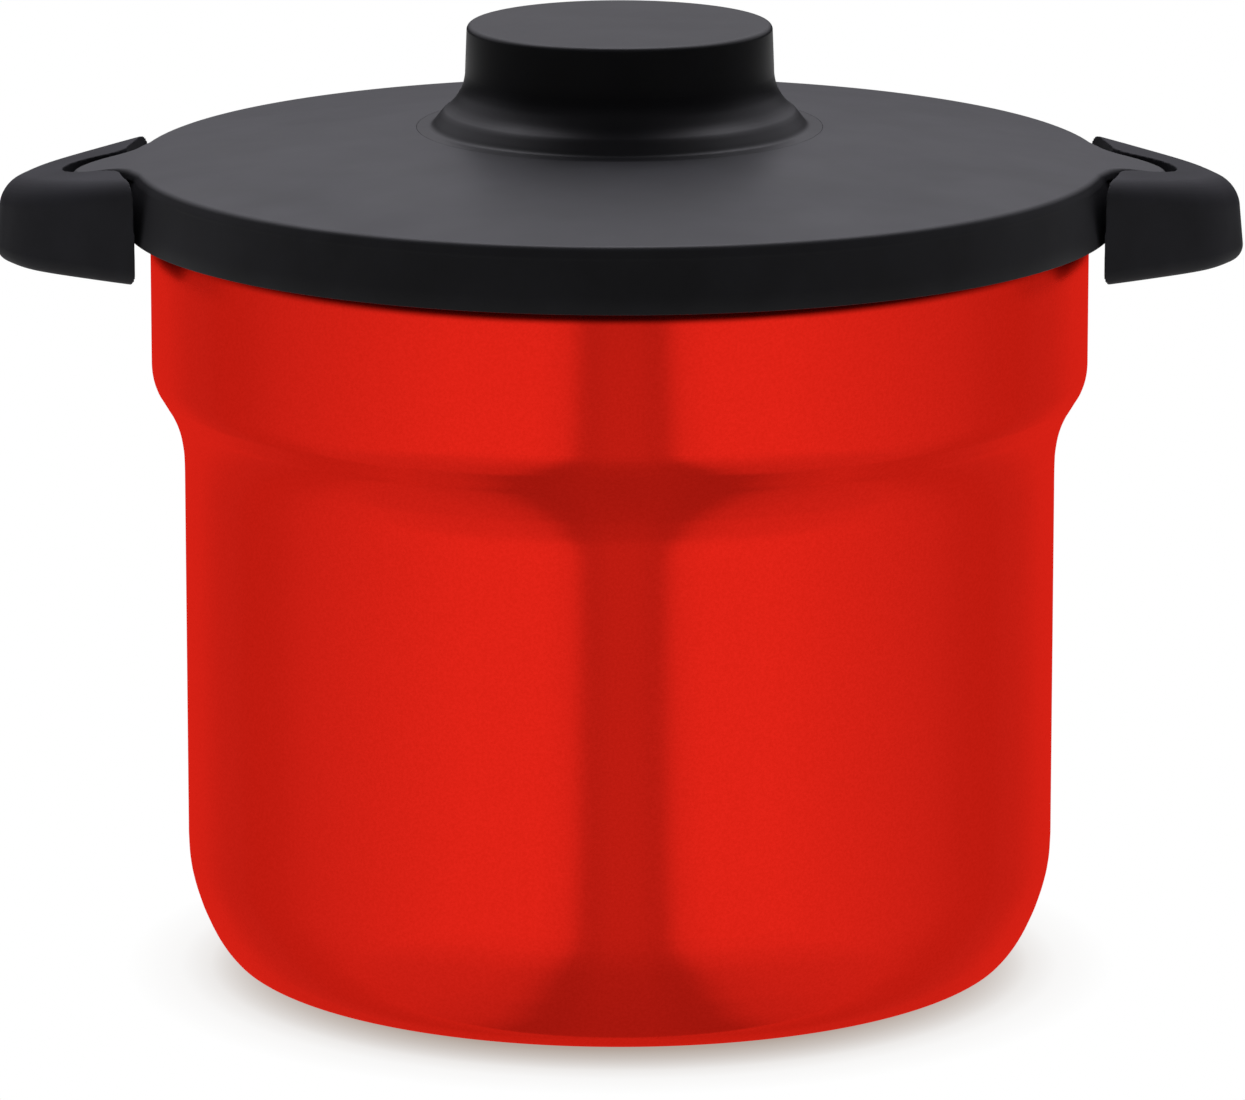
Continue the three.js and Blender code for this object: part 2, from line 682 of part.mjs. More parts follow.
// The handle's outer plan from the far arm's end round the tip to the near arm's end
function handlePlan(inset) {
  const half = handleReachShares.map((share, i) => {
    const x = HANDLE_END + share * (HANDLE_REACH - HANDLE_END);
    return new THREE.Vector3(x, handleWidthShares[i] * HANDLE.spread, 0);
  });
  const mirrored = half.slice(0, -1).map((point) => new THREE.Vector3(point.x, -point.y, 0));
  const curve = new THREE.CatmullRomCurve3([...mirrored, ...half.reverse()], false, "centripetal");
  const run = curve.getPoints(ROUND_SIDES / 2).map((point) => [point.x, point.y]);
  return shifted(run, -inset);
}

const handleTopAt = (x) => ARRIS_HEIGHT - HANDLE.topDrop - HANDLE.topSlope * (x - ARRIS_RADIUS);

// The handle's full outside with its drafted sides and rounded top and bottom edges
function handleBlank() {
  const { widestHeight, draft, topRounding, tipRounding, bottomRounding } = HANDLE;
  const run = HANDLE_REACH - HANDLE_END;
  const arc = [0, Math.PI / 6, Math.PI / 3, Math.PI / 2];
  const below = arc.map((a) => {
    const height = HANDLE_BOTTOM + bottomRounding * (1 - Math.cos(a));
    return handlePlan(bottomRounding * (1 - Math.sin(a))).map(([x, y]) => [x, y, height]);
  });
  const lean = draft * (handleTopAt(HANDLE_END) - HANDLE_BOTTOM - widestHeight);
  const above = arc.map((a) => {
    const tip = handlePlan(lean + tipRounding * (1 - Math.cos(a)));
    return handlePlan(lean + topRounding * (1 - Math.cos(a))).map(([x, y], i) => {
      const share = (x - HANDLE_END) / run;
      const fall = (topRounding + share * (tipRounding - topRounding)) * (1 - Math.sin(a));
      const place = [x + share * (tip[i][0] - x), y + share * (tip[i][1] - y)];
      return [...place, handleTopAt(place[0]) - fall];
    });
  });
  return toSolid(lofted([...below, ...above]));
}

// The room inside the handle's shell, open below, or the cover that fills it
function handleRoom(margin, low, high) {
  const plan = toSolid(raised(handlePlan(HANDLE.wall + margin), low, high));
  const arms = toSolid(disc(HANDLE_INNER + HANDLE.armWall + margin, low - OVERRUN, high + OVERRUN));
  const half = HANDLE.rootHalfWidth + margin;
  const root = block(HANDLE_INNER, ROOT_REACH + margin, -half, half, low - OVERRUN, high + OVERRUN);
  return cutBy(plan, arms, toSolid(root));
}

const COVER_BOTTOM = HANDLE_BOTTOM + HANDLE.coverRecess;
const COVER_TOP = COVER_BOTTOM + HANDLE.coverThickness;
const COVER_SEAT = COVER_BOTTOM + COVER_SCREW.headHeight;

function coverRods(radius, low, high) {
  const x = HANDLE_INNER + HANDLE.postLength;
  const rod = () => toSolid(disc(radius, low, high, SMALL_SIDES));
  return [-1, 1].map((side) => rod().translate([x, side * HANDLE.postSpread, 0]));
}

// The block at the handle's root that meets the collar's lug
function handleRoot() {
  const { rootHalfWidth, rootHeight, rootThickness } = HANDLE;
  const [start, end] = [LUG_REACH + CLEARANCE, HANDLE_INNER + HANDLE.armWall];
  const low = HANDLE_BOTTOM + rootHeight;
  return toSolid(block(start, end, -rootHalfWidth, rootHalfWidth, low, low + rootThickness));
}

function handleShell(name, side) {
  const low = HANDLE_BOTTOM - OVERRUN;
  const high = ARRIS_HEIGHT + OVERRUN;
  const cavityTop = HANDLE_BOTTOM + HANDLE.cavityHeight;
  const lidRoom = toSolid(disc(HANDLE_INNER, low, high));
  const pocket = toSolid(raised(earPlan(EAR.gap), HANDLE_BOTTOM + HANDLE.pocketHeight, high));
  const hollow = cutBy(handleBlank(), lidRoom, pocket, handleRoom(0, low, cavityTop));
  const posts = coverRods(HANDLE.postRadius, COVER_TOP + CLEARANCE, cavityTop + OVERRUN);
  const pilotTop = COVER_TOP + COVER_SCREW.length + CLEARANCE;
  const pilots = coverRods(COVER_SCREW.radius + CLEARANCE, COVER_TOP - OVERRUN, pilotTop);
  const radius = ROOT_SCREW.radius + CLEARANCE;
  const bore = () => toSolid(barAlongX(radius, LUG_REACH, ROOT_REACH + OVERRUN, SMALL_SIDES));
  const body = joined(hollow, handleRoot(), ...posts);
  return part(name, toGeometry(turned(cutBy(body, ...pilots, ...atRootScrews(bore)), side)), BLACK_PLASTIC);
}

function handleCover(name, side) {
  const plate = handleRoom(CLEARANCE, COVER_BOTTOM, COVER_TOP);
  const holes = coverRods(COVER_SCREW.radius + CLEARANCE, HANDLE_BOTTOM, COVER_TOP + OVERRUN);
  const sinks = coverRods(COVER_SCREW.headRadius + CLEARANCE, HANDLE_BOTTOM, COVER_SEAT);
  return part(name, toGeometry(turned(cutBy(plate, ...holes, ...sinks), side)), BLACK_PLASTIC);
}

function coverScrews(name, side) {
  const x = HANDLE_INNER + HANDLE.postLength;
  return [-1, 1].map((row, i) => {
    const screw = toSolid(screwUp(COVER_SCREW, COVER_SEAT - CLEARANCE));
    const placed = turned(screw.translate([x, row * HANDLE.postSpread, 0]), side);
    return part(`${name}_cover_screw_${i + 1}`, toGeometry(placed), ZINC);
  });
}

function rootScrews(name, side) {
  const { radius, headRadius, headHeight, bite } = ROOT_SCREW;
  const seat = ROOT_REACH + CLEARANCE;
  const tip = LUG_REACH - bite;
  const profile = [
    [0, tip],
    [radius, tip],
    [radius, seat],
    [headRadius, seat],
    [headRadius, seat + headHeight],
    [0, seat + headHeight],
  ];
  const screws = atRootScrews(() => toSolid(revolved(profile, SMALL_SIDES).rotateY(Math.PI / 2)));
  return screws.map((screw, i) =>
    part(`${name}_root_screw_${i + 1}`, toGeometry(turned(screw, side)), ZINC));
}

// The inner pot
const POT_FLOOR = VESSEL.floorTop + CLEARANCE + POT.baseThickness + CLEARANCE;

function potBody() {
  const { wall, rimThickness, corner } = POT;
  const bevel = corner * bevelShare;
  const profile = [
    [0, POT_FLOOR],
    [POT_RADIUS - corner, POT_FLOOR],
    [POT_RADIUS - bevel, POT_FLOOR + bevel],
    [POT_RADIUS, POT_FLOOR + corner],
    [POT_RADIUS, POT_RIM - rimThickness],
    [POT_RADIUS + POT.rimWidth, POT_RIM - rimThickness],
    [POT_RADIUS + POT.rimWidth, POT_RIM],
    [POT_RADIUS - wall, POT_RIM],
    [POT_RADIUS - wall, POT_FLOOR + corner],
    [POT_RADIUS - bevel - wall, POT_FLOOR + bevel + wall],
    [POT_RADIUS - corner, POT_FLOOR + wall],
    [0, POT_FLOOR + wall],
  ];
  const [start, end] = [POT_RADIUS - corner, POT_RADIUS + OVERRUN];
  const bore = () => toSolid(barAlongX(RIVET.radius + CLEARANCE, start, end, SMALL_SIDES));
  const holes = [-1, 1].flatMap((side) => atRivets(bore).map((hole) => turned(hole, side)));
  return part("pot_body", toGeometry(cutBy(toSolid(revolved(profile)), ...holes)), STEEL);
}

function potBase() {
  const low = VESSEL.floorTop + CLEARANCE;
  return part("pot_base", disc(POT_RADIUS - POT.baseInset, low, low + POT.baseThickness), STEEL);
}

const atRivets = (make) => [-1, 1].map((row) =>
  make().translate([0, row * LUG.rivetSpread, POT_RIM - LUG.rivetDepth]));

function bailLug(name, side) {
  const { thickness, halfWidth, jogRise } = LUG;
  const face = POT_RADIUS + CLEARANCE;
  const [low, jog, top] = [POT_RIM - LUG.depth, POT_RIM - LUG.jogDepth, POT_RIM + LUG.height];
  const outline = [
    [face, low],
    [face + thickness, low],
    [face + thickness, jog - thickness / 2],
    [LUG_FACE + thickness, jog + jogRise - thickness / 2],
    [LUG_FACE + thickness, top],
    [LUG_FACE, top],
    [LUG_FACE, jog + jogRise],
    [face, jog],
  ];
  const strap = toSolid(raised(outline, -halfWidth, halfWidth).rotateX(Math.PI / 2));
  const [start, end] = [face - OVERRUN, LUG_FACE + thickness + OVERRUN];
  const eye = toSolid(barAlongX(BAIL.wireRadius + CLEARANCE, start, end, SMALL_SIDES));
  const holes = atRivets(() => toSolid(barAlongX(RIVET.radius + CLEARANCE, start, end, SMALL_SIDES)));
  const solid = cutBy(strap, eye.translate([0, 0, PIVOT_HEIGHT]), ...holes);
  return part(name, toGeometry(turned(solid, side)), STEEL);
}

function rivets() {
  const { radius, headRadius, headHeight, tipRadius } = RIVET;
  const innerFace = POT_RADIUS - POT.wall - 2 * CLEARANCE;
  const outerFace = POT_RADIUS + 2 * CLEARANCE + LUG.thickness;
  const profile = [
    [0, innerFace - headHeight],
    [headRadius, innerFace - headHeight],
    [headRadius, innerFace],
    [radius, innerFace],
    [radius, outerFace],
    [headRadius, outerFace],
    [tipRadius, outerFace + headHeight],
    [0, outerFace + headHeight],
  ];
  const rivet = () => toSolid(revolved(profile, SMALL_SIDES).rotateY(Math.PI / 2));
  const all = [-1, 1].flatMap((side) => atRivets(rivet).map((solid) => turned(solid, side)));
  return all.map((solid, i) => part(`lug_rivet_${i + 1}`, toGeometry(solid), STEEL));
}

// A tube bent round Z through part of the bail's circle
function bentTube(tubeRadius, from, to, steps, sides) {
  const path = new THREE.Curve();
  path.getPoint = (t, target = new THREE.Vector3()) => {
    const angle = from + t * (to - from);
    return target.set(BAIL_RADIUS * Math.cos(angle), BAIL_RADIUS * Math.sin(angle), 0);
  };
  const section = new THREE.Shape();
  section.absarc(0, 0, tubeRadius, 0, 2 * Math.PI);
  const settings = { steps, extrudePath: path, curveSegments: sides / 2, bevelEnabled: false };
  return toSolid(new THREE.ExtrudeGeometry(section, settings));
}

function bailWire() {
  const { wireRadius, turns, sides } = BAIL;
  const arch = bentTube(wireRadius, 0, Math.PI, turns, sides);
  const start = LUG_FACE - CLEARANCE / 2;
  const end = () => toSolid(barAlongX(wireRadius, start, BAIL_RADIUS + wireRadius, SMALL_SIDES));
  const wire = joined(arch, end(), turned(end(), -1)).translate([0, 0, PIVOT_HEIGHT]);
  return part("bail_wire", toGeometry(wire), STEEL);
}

function bailGrip() {
  const { wireRadius, gripRadius, gripHalfAngle, turns, gripTurns, sides } = BAIL;
  const [from, to] = [Math.PI / 2 - gripHalfAngle, Math.PI / 2 + gripHalfAngle];
  const sleeve = bentTube(gripRadius, from, to, gripTurns, SMALL_SIDES);
  const bore = bentTube(wireRadius + CLEARANCE, 0, Math.PI, turns, sides);
  const grip = cutBy(sleeve, bore).translate([0, 0, PIVOT_HEIGHT]);
  return part("bail_grip", toGeometry(grip), BLACK_PLASTIC);
}

// The pot's glass lid
const BAND_BOTTOM = POT_RIM + CLEARANCE;
const GLASS_BOTTOM = BAND_BOTTOM + BAND.sheet + CLEARANCE;
const GLASS_TOP = GLASS_BOTTOM + GLASS.thickness;
const GLASS_CROWN = GLASS_TOP + GLASS.rise;

// The glass's dome as [radius, height] points from the edge to the centre hole
function domeOutline(edge) {
  const start = GLASS_RADIUS - GLASS.flatWidth;
  const run = start - GLASS.holeRadius;
  return domeShares.map((share) => [start - share * run, edge + GLASS.rise * (1 - (1 - share) ** 2)]);
}

// Sets a piece into the glass where the steam vent is, square to the dome there
function atVent(geometry) {
  const share = VENT.circle / GLASS_RADIUS;
  const height = GLASS_BOTTOM + GLASS.thickness / 2 + GLASS.rise * (1 - share ** 2);
  const tilt = Math.atan((2 * GLASS.rise * share) / GLASS_RADIUS);
  return geometry.rotateX(tilt).translate(0, -VENT.circle, height);
}

function potLidGlass() {
  const profile = [
    [GLASS_RADIUS, GLASS_BOTTOM],
    [GLASS_RADIUS, GLASS_TOP],
    ...domeOutline(GLASS_TOP),
    ...domeOutline(GLASS_BOTTOM).reverse(),
  ];
  const reach = GLASS.thickness + OVERRUN;
  const hole = toSolid(atVent(disc(VENT.holeRadius, -reach, reach, SMALL_SIDES)));
  return part("pot_lid_glass", toGeometry(cutBy(toSolid(revolved(profile)), hole)), GLASS_CLEAR);
}

function potLidBand() {
  const { sheet, topWidth, lipDepth } = BAND;
  const slotTop = GLASS_TOP + CLEARANCE;
  const profile = [
    [LIP_RADIUS - sheet, BAND_BOTTOM - lipDepth],
    [LIP_RADIUS, BAND_BOTTOM - lipDepth],
    [LIP_RADIUS, BAND_BOTTOM],
    [BAND_RADIUS, BAND_BOTTOM],
    [BAND_RADIUS, slotTop + sheet],
    [BAND_RADIUS - topWidth, slotTop + sheet],
    [BAND_RADIUS - topWidth, slotTop],
    [BAND_RADIUS - sheet, slotTop],
    [BAND_RADIUS - sheet, BAND_BOTTOM + sheet],
    [LIP_RADIUS - sheet, BAND_BOTTOM + sheet],
  ];
  return part("pot_lid_band", revolved(profile), STEEL);
}

const KNOB_SEAT = GLASS_CROWN + CLEARANCE + POT_KNOB.washer + CLEARANCE;

function potLidKnob() {
  const { radius, neckRadius, holeRadius, holeDepth } = POT_KNOB;
  const height = PLATE_BOTTOM - POT_KNOB.topGap - KNOB_SEAT;
  const side = potKnobRadiusShares.map((share, i) => [
    share * radius,
    KNOB_SEAT + potKnobHeightShares[i] * height,
  ]);
  const profile = [
    [holeRadius, KNOB_SEAT],
    [neckRadius, KNOB_SEAT],
    [neckRadius, KNOB_SEAT + height / 4],
    ...side,
    [0, KNOB_SEAT + height],
    [0, KNOB_SEAT + holeDepth],
    [holeRadius, KNOB_SEAT + holeDepth],
  ];
  return part("pot_lid_knob", revolved(profile, ROUND_SIDES / 2), BLACK_PLASTIC);
}

function potLidWasher() {
  const low = GLASS_CROWN + CLEARANCE;
  const washer = ring(GLASS.holeRadius, POT_KNOB.neckRadius, low, low + POT_KNOB.washer, ROUND_SIDES / 2);
  return part("pot_lid_washer", washer, SILICONE);
}

function potLidScrew() {
  const seat = GLASS_CROWN - GLASS.thickness - CLEARANCE;
  const length = KNOB_SEAT + POT_KNOB.holeDepth - CLEARANCE - seat;
  return part("pot_lid_screw", screwUp({ ...POT_KNOB_SCREW, length }, seat), STEEL);
}

function steamVent() {
  const { bore, holeRadius, flangeRadius, flangeThickness } = VENT;
  const outer = holeRadius - CLEARANCE;
  const half = GLASS.thickness / 2 + 2 * CLEARANCE;
  const profile = [
    [bore, -half - flangeThickness],
    [flangeRadius, -half - flangeThickness],
    [flangeRadius, -half],
    [outer, -half],
    [outer, half],
    [flangeRadius, half],
    [flangeRadius, half + flangeThickness],
    [bore, half + flangeThickness],
  ];
  return part("steam_vent", atVent(revolved(profile, SMALL_SIDES)), STEEL);
}

function group(...meshes) {
  const set = new THREE.Group();
  set.add(...meshes.flat());
  return set;
}

const handle = (name, side) => [
  handleShell(`${name}_handle_shell`, side),
  handleCover(`${name}_handle_cover`, side),
  coverScrews(name, side),
  rootScrews(name, side),
].flat();

const container = group(
  outerShell(), innerVessel(), radiationFoil(), outerBottom(), vacuumTip(), sealCover(), getter(),
  collarRing(), handle("right", 1), handle("left", -1),
);
const outerLid = group(
  lidTop(), lidKnob(), lidInnerPlate(), lidInsulation(), lidSeal(),
  screwsOnCircle("knob_screw", KNOB_SCREW, KNOB_BOSS.circle, LID_SEAT - LID.wall - CLEARANCE),
  screwsOnCircle("plate_screw", PLATE_SCREW, PLATE.postCircle, PLATE_BOTTOM - CLEARANCE),
);
const pot = group(
  potBody(), potBase(), bailLug("right_bail_lug", 1), bailLug("left_bail_lug", -1), rivets(),
);
const bail = group(bailWire(), bailGrip());
const potLid = group(potLidGlass(), potLidBand(), potLidKnob(), potLidWasher(), potLidScrew(), steamVent());

export default group(container, outerLid, pot, bail, potLid);
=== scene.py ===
import functools
import json
import math

import bpy
import numpy as np
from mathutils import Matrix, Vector


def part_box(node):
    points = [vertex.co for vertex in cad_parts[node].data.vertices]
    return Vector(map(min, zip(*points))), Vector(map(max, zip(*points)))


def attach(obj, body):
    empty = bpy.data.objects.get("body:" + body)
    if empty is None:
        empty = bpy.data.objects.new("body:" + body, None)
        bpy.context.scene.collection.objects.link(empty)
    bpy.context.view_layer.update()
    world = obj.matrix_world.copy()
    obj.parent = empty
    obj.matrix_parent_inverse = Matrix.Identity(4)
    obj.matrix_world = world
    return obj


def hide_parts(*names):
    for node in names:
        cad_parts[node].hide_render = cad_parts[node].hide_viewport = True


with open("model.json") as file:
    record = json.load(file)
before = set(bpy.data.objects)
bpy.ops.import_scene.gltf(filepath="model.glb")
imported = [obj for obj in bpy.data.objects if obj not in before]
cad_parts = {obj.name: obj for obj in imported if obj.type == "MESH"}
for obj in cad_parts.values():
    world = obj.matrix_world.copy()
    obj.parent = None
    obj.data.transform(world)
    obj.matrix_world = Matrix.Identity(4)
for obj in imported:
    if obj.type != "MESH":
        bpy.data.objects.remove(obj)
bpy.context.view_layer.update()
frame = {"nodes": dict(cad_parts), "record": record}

MM = 0.001
SIDES = 192
FINE_SIDES = 256
SMALL_SIDES = 48
GAP = 0.3 * MM
# How far a cutting tool reaches past what it cuts
PAST = 1 * MM
UP = Vector((0, 0, 1))
# The angle in degrees from which an edge is drawn sharp, and the share of an edge a fillet may take
SHARP_ANGLE = 32
FILLET_SHARE = 0.49

# Camera, as the photograph was taken
TARGET_Z = 0.130
DISTANCE = 2.430
ELEVATION = math.radians(12.142)
FOCAL_PIXELS = 9000
IMAGE_WIDTH = 1245
SENSOR_WIDTH = 36
AIM_RIGHT_PIXELS = 2.83
AIM_DOWN_PIXELS = 71.2
VIEW_END = 50

bodies = frame["record"]["behaviour"]["bodies"]
body_of_node = {node: body for body, nodes in bodies.items() for node in nodes}
slot_of_node = {row["node"]: row["material_slot"] for row in frame["record"]["subparts"]}


@functools.cache
def box(node):
    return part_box(node)


def low(node):
    return box(node)[0]


def high(node):
    return box(node)[1]


# Mesh tools

def mesh_piece(name, verts, faces):
    mesh = bpy.data.meshes.new(name)
    mesh.from_pydata([tuple(v) for v in verts], [], faces)
    mesh.validate()
    mesh.update()
    piece = bpy.data.objects.new(name, mesh)
    bpy.context.scene.collection.objects.link(piece)
    return piece


def shade(piece, angle=SHARP_ANGLE):
    piece.data.shade_smooth()
    piece.data.set_sharp_from_angle(angle=math.radians(angle))
    return piece


def baked(piece):
    """Applies the piece's modifiers to its mesh."""
    graph = bpy.context.evaluated_depsgraph_get()
    mesh = bpy.data.meshes.new_from_object(piece.evaluated_get(graph))
    old = piece.data
    piece.modifiers.clear()
    piece.data = mesh
    bpy.data.meshes.remove(old)
    return piece


def carve(piece, tool, operation="DIFFERENCE"):
    """Cuts or joins another object into a piece and removes that object."""
    modifier = piece.modifiers.new("carve", "BOOLEAN")
    modifier.operation = operation
    modifier.solver = "EXACT"
    modifier.object = tool
    baked(piece)
    bpy.data.objects.remove(tool)
    return piece


def filleted(points, steps=6):
    """An outline of (r, z) or (r, z, fillet radius) points, its corners turned into arcs."""
    count = len(points)
    result = []
    for i, point in enumerate(points):
        here = np.array(point[:2], float)
        radius = point[2] if len(point) > 2 else 0
        if not radius or i in (0, count - 1):
            result.append(tuple(here))
            continue
        back = np.array(points[i - 1][:2], float) - here
        ahead = np.array(points[i + 1][:2], float) - here
        back_length, ahead_length = np.linalg.norm(back), np.linalg.norm(ahead)
        back, ahead = back / back_length, ahead / ahead_length
        half = math.acos(max(-1, min(1, float(back @ ahead)))) / 2
        room = FILLET_SHARE * min(back_length, ahead_length)
        reach = min(radius / math.tan(half), room)
        radius = reach * math.tan(half)
        middle = (back + ahead) / np.linalg.norm(back + ahead)
        centre = here + middle * radius / math.sin(half)
        start, end = here + back * reach - centre, here + ahead * reach - centre
        sweep = math.pi - 2 * half
        for k in range(steps + 1):
            t = k / steps
            a, b = (math.sin(share * sweep) / math.sin(sweep) for share in (1 - t, t))
            result.append(tuple(centre + a * start + b * end))
    return result


def curve_through(points, steps=6):
    """A smooth run of points through the given ones."""
    p = np.array(points, float)
    ends = [2 * p[0] - p[1], *p, 2 * p[-1] - p[-2]]
    result = []
    for a, b, c, d in zip(ends, ends[1:], ends[2:], ends[3:]):
        for k in range(steps):
            t = k / steps
            result.append(0.5 * (2 * b + (c - a) * t + (2 * a - 5 * b + 4 * c - d) * t * t
                                 + (3 * b - a - 3 * c + d) * t ** 3))
    result.append(p[-1])
    return [tuple(v) for v in result]


def full_turn(count):
    return np.linspace(0, 2 * math.pi, count, endpoint=False)


def revolved(name, profile, sides=SIDES):
    """A closed (r, z) profile turned round Z. Points on the axis become poles."""
    verts, rows = [], []
    for r, z in profile:
        if r < 1e-6:
            rows.append([len(verts)])
            verts.append((0, 0, z))
        else:
            rows.append(list(range(len(verts), len(verts) + sides)))
            turns = (2 * math.pi * k / sides for k in range(sides))
            verts += [(r * math.cos(a), r * math.sin(a), z) for a in turns]
    faces = []
    for a, b in zip(rows, rows[1:] + rows[:1]):
        if len(a) == 1 and len(b) == 1:
            continue
        for k in range(sides):
            n = (k + 1) % sides
            if len(a) == 1:
                faces.append((a[0], b[n], b[k]))
            elif len(b) == 1:
                faces.append((a[k], a[n], b[0]))
            else:
                faces.append((a[k], a[n], b[n], b[k]))
    return outward(mesh_piece(name, verts, faces))


def outward(piece):
    """Turns a closed mesh's faces outwards."""
    mesh = piece.data
    volume = 0.0
    for polygon in mesh.polygons:
        corners = [mesh.vertices[i].co for i in polygon.vertices]
        for b, c in zip(corners[1:], corners[2:]):
            volume += corners[0].dot(b.cross(c))
    if volume < 0:
        mesh.flip_normals()
    return piece


def prism(name, outline, bottom, top):
    """An (x, y) outline raised from one height to another."""
    count = len(outline)
    verts = [(x, y, bottom) for x, y in outline] + [(x, y, top) for x, y in outline]
    faces = [tuple(range(count - 1, -1, -1)), tuple(range(count, 2 * count))]
    faces += [(i, (i + 1) % count, (i + 1) % count + count, i + count) for i in range(count)]
    return outward(mesh_piece(name, verts, faces))


def cuboid(name, x0, x1, y0, y1, z0, z1):
    return prism(name, [(x0, y0), (x1, y0), (x1, y1), (x0, y1)], z0, z1)


def turned_about(piece):
    """The same mesh turned half a turn about Z."""
    for vertex in piece.data.vertices:
        vertex.co.x, vertex.co.y = -vertex.co.x, -vertex.co.y
    piece.data.update()
    return piece


def shifted(run, distance):
    """An open run of (x, y) points moved sideways, to its right."""
    result = []
    for i, (x, y) in enumerate(run):
        ax, ay = run[max(i - 1, 0)]
        bx, by = run[min(i + 1, len(run) - 1)]
        length = math.hypot(bx - ax, by - ay)
        result.append((x + (by - ay) / length * distance, y - (bx - ax) / length * distance))
    return result


def both_halves(half):
    """A run of (x, y) points that ends at Y 0, after its mirror image."""
    return [(x, -y) for x, y in half[:-1]] + half[::-1]


def lofted(name, rings):
    """Rings of equally many points joined to a solid with flat ends."""
    count = len(rings[0])
    verts = [v for ring in rings for v in ring]
    faces = [tuple(range(count - 1, -1, -1)), tuple(range(len(verts) - count, len(verts)))]
    for base in range(0, len(verts) - count, count):
        for i in range(count):
            n = (i + 1) % count
            faces.append((base + i, base + n, base + count + n, base + count + i))
    return outward(mesh_piece(name, verts, faces))


def hoop(centre, side, radius, count):
    """A ring of points round a centre, in the plane of Z and the given direction."""
    return [tuple(centre + radius * (math.cos(a) * side + math.sin(a) * UP)) for a in full_turn(count)]


def dress(piece, material, *nodes, angle=SHARP_ANGLE):
    """Rides a piece on its nodes' body, in place of them."""
    shade(piece, angle)
    piece.data.materials.clear()
    piece.data.materials.append(material)
    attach(piece, body_of_node[nodes[0]])
    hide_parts(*nodes)
    return piece


# Materials

# The part of a noise's range that its values mostly lie in
NOISE_SPAN = (0.3, 0.7)
# Where a metal's mirror colour takes over, from facing the viewer towards the outline
OUTLINE_SPAN = (0.3, 0.55)
# How little a brushed line changes along its length
LINE_CHANGE = 0.004
# Under the lid beside the handles the paint is duller: by how much, and from where along X and Z
DULLING = 0.22
DULL_LIMITS = {"X": (98 * MM, 110 * MM), "Z": (189 * MM, 196 * MM)}


class Nodes:
    """A node tree's nodes, made and linked with less writing."""

    def __init__(self, tree):
        self.tree = tree

    def make(self, kind, inputs=(), **settings):
        node = self.tree.nodes.new(kind)
        for key, value in settings.items():
            setattr(node, key, value)
        for key, value in dict(inputs).items():
            if isinstance(value, bpy.types.NodeSocket):
                self.tree.links.new(value, node.inputs[key])
            else:
                node.inputs[key].default_value = value
        return node

    def math(self, operation, *values):
        return self.make("ShaderNodeMath", enumerate(values), operation=operation).outputs["Value"]

    def ranged(self, value, start, end, first=0.0, last=1.0, curve="LINEAR"):
        inputs = {"Value": value, "From Min": start, "From Max": end, "To Min": first, "To Max": last}
        return self.make("ShaderNodeMapRange", inputs, interpolation_type=curve).outputs["Result"]

    def mixed(self, factor, first, last, blend="MIX"):
        inputs = {"Factor": factor, "A": first, "B": last}
        return self.make("ShaderNodeMix", inputs, data_type="RGBA", blend_type=blend).outputs["Result"]

    def split(self, vector):
        """The X, Y and Z of a vector."""
        node = self.make("ShaderNodeSeparateXYZ", {"Vector": vector})
        return (node.outputs[axis] for axis in "XYZ")

    def length(self, vector):
        return self.make("ShaderNodeVectorMath", {0: vector}, operation="LENGTH").outputs["Value"]

    def ramp(self, value, stops):
        node = self.make("ShaderNodeValToRGB", {"Fac": value})
        elements = node.color_ramp.elements
        for i, (position, level) in enumerate(stops):
            stop = elements[i] if i < 2 else elements.new(position)
            stop.position = position
            stop.color = (level, level, level, 1)
        return node.outputs["Color"]


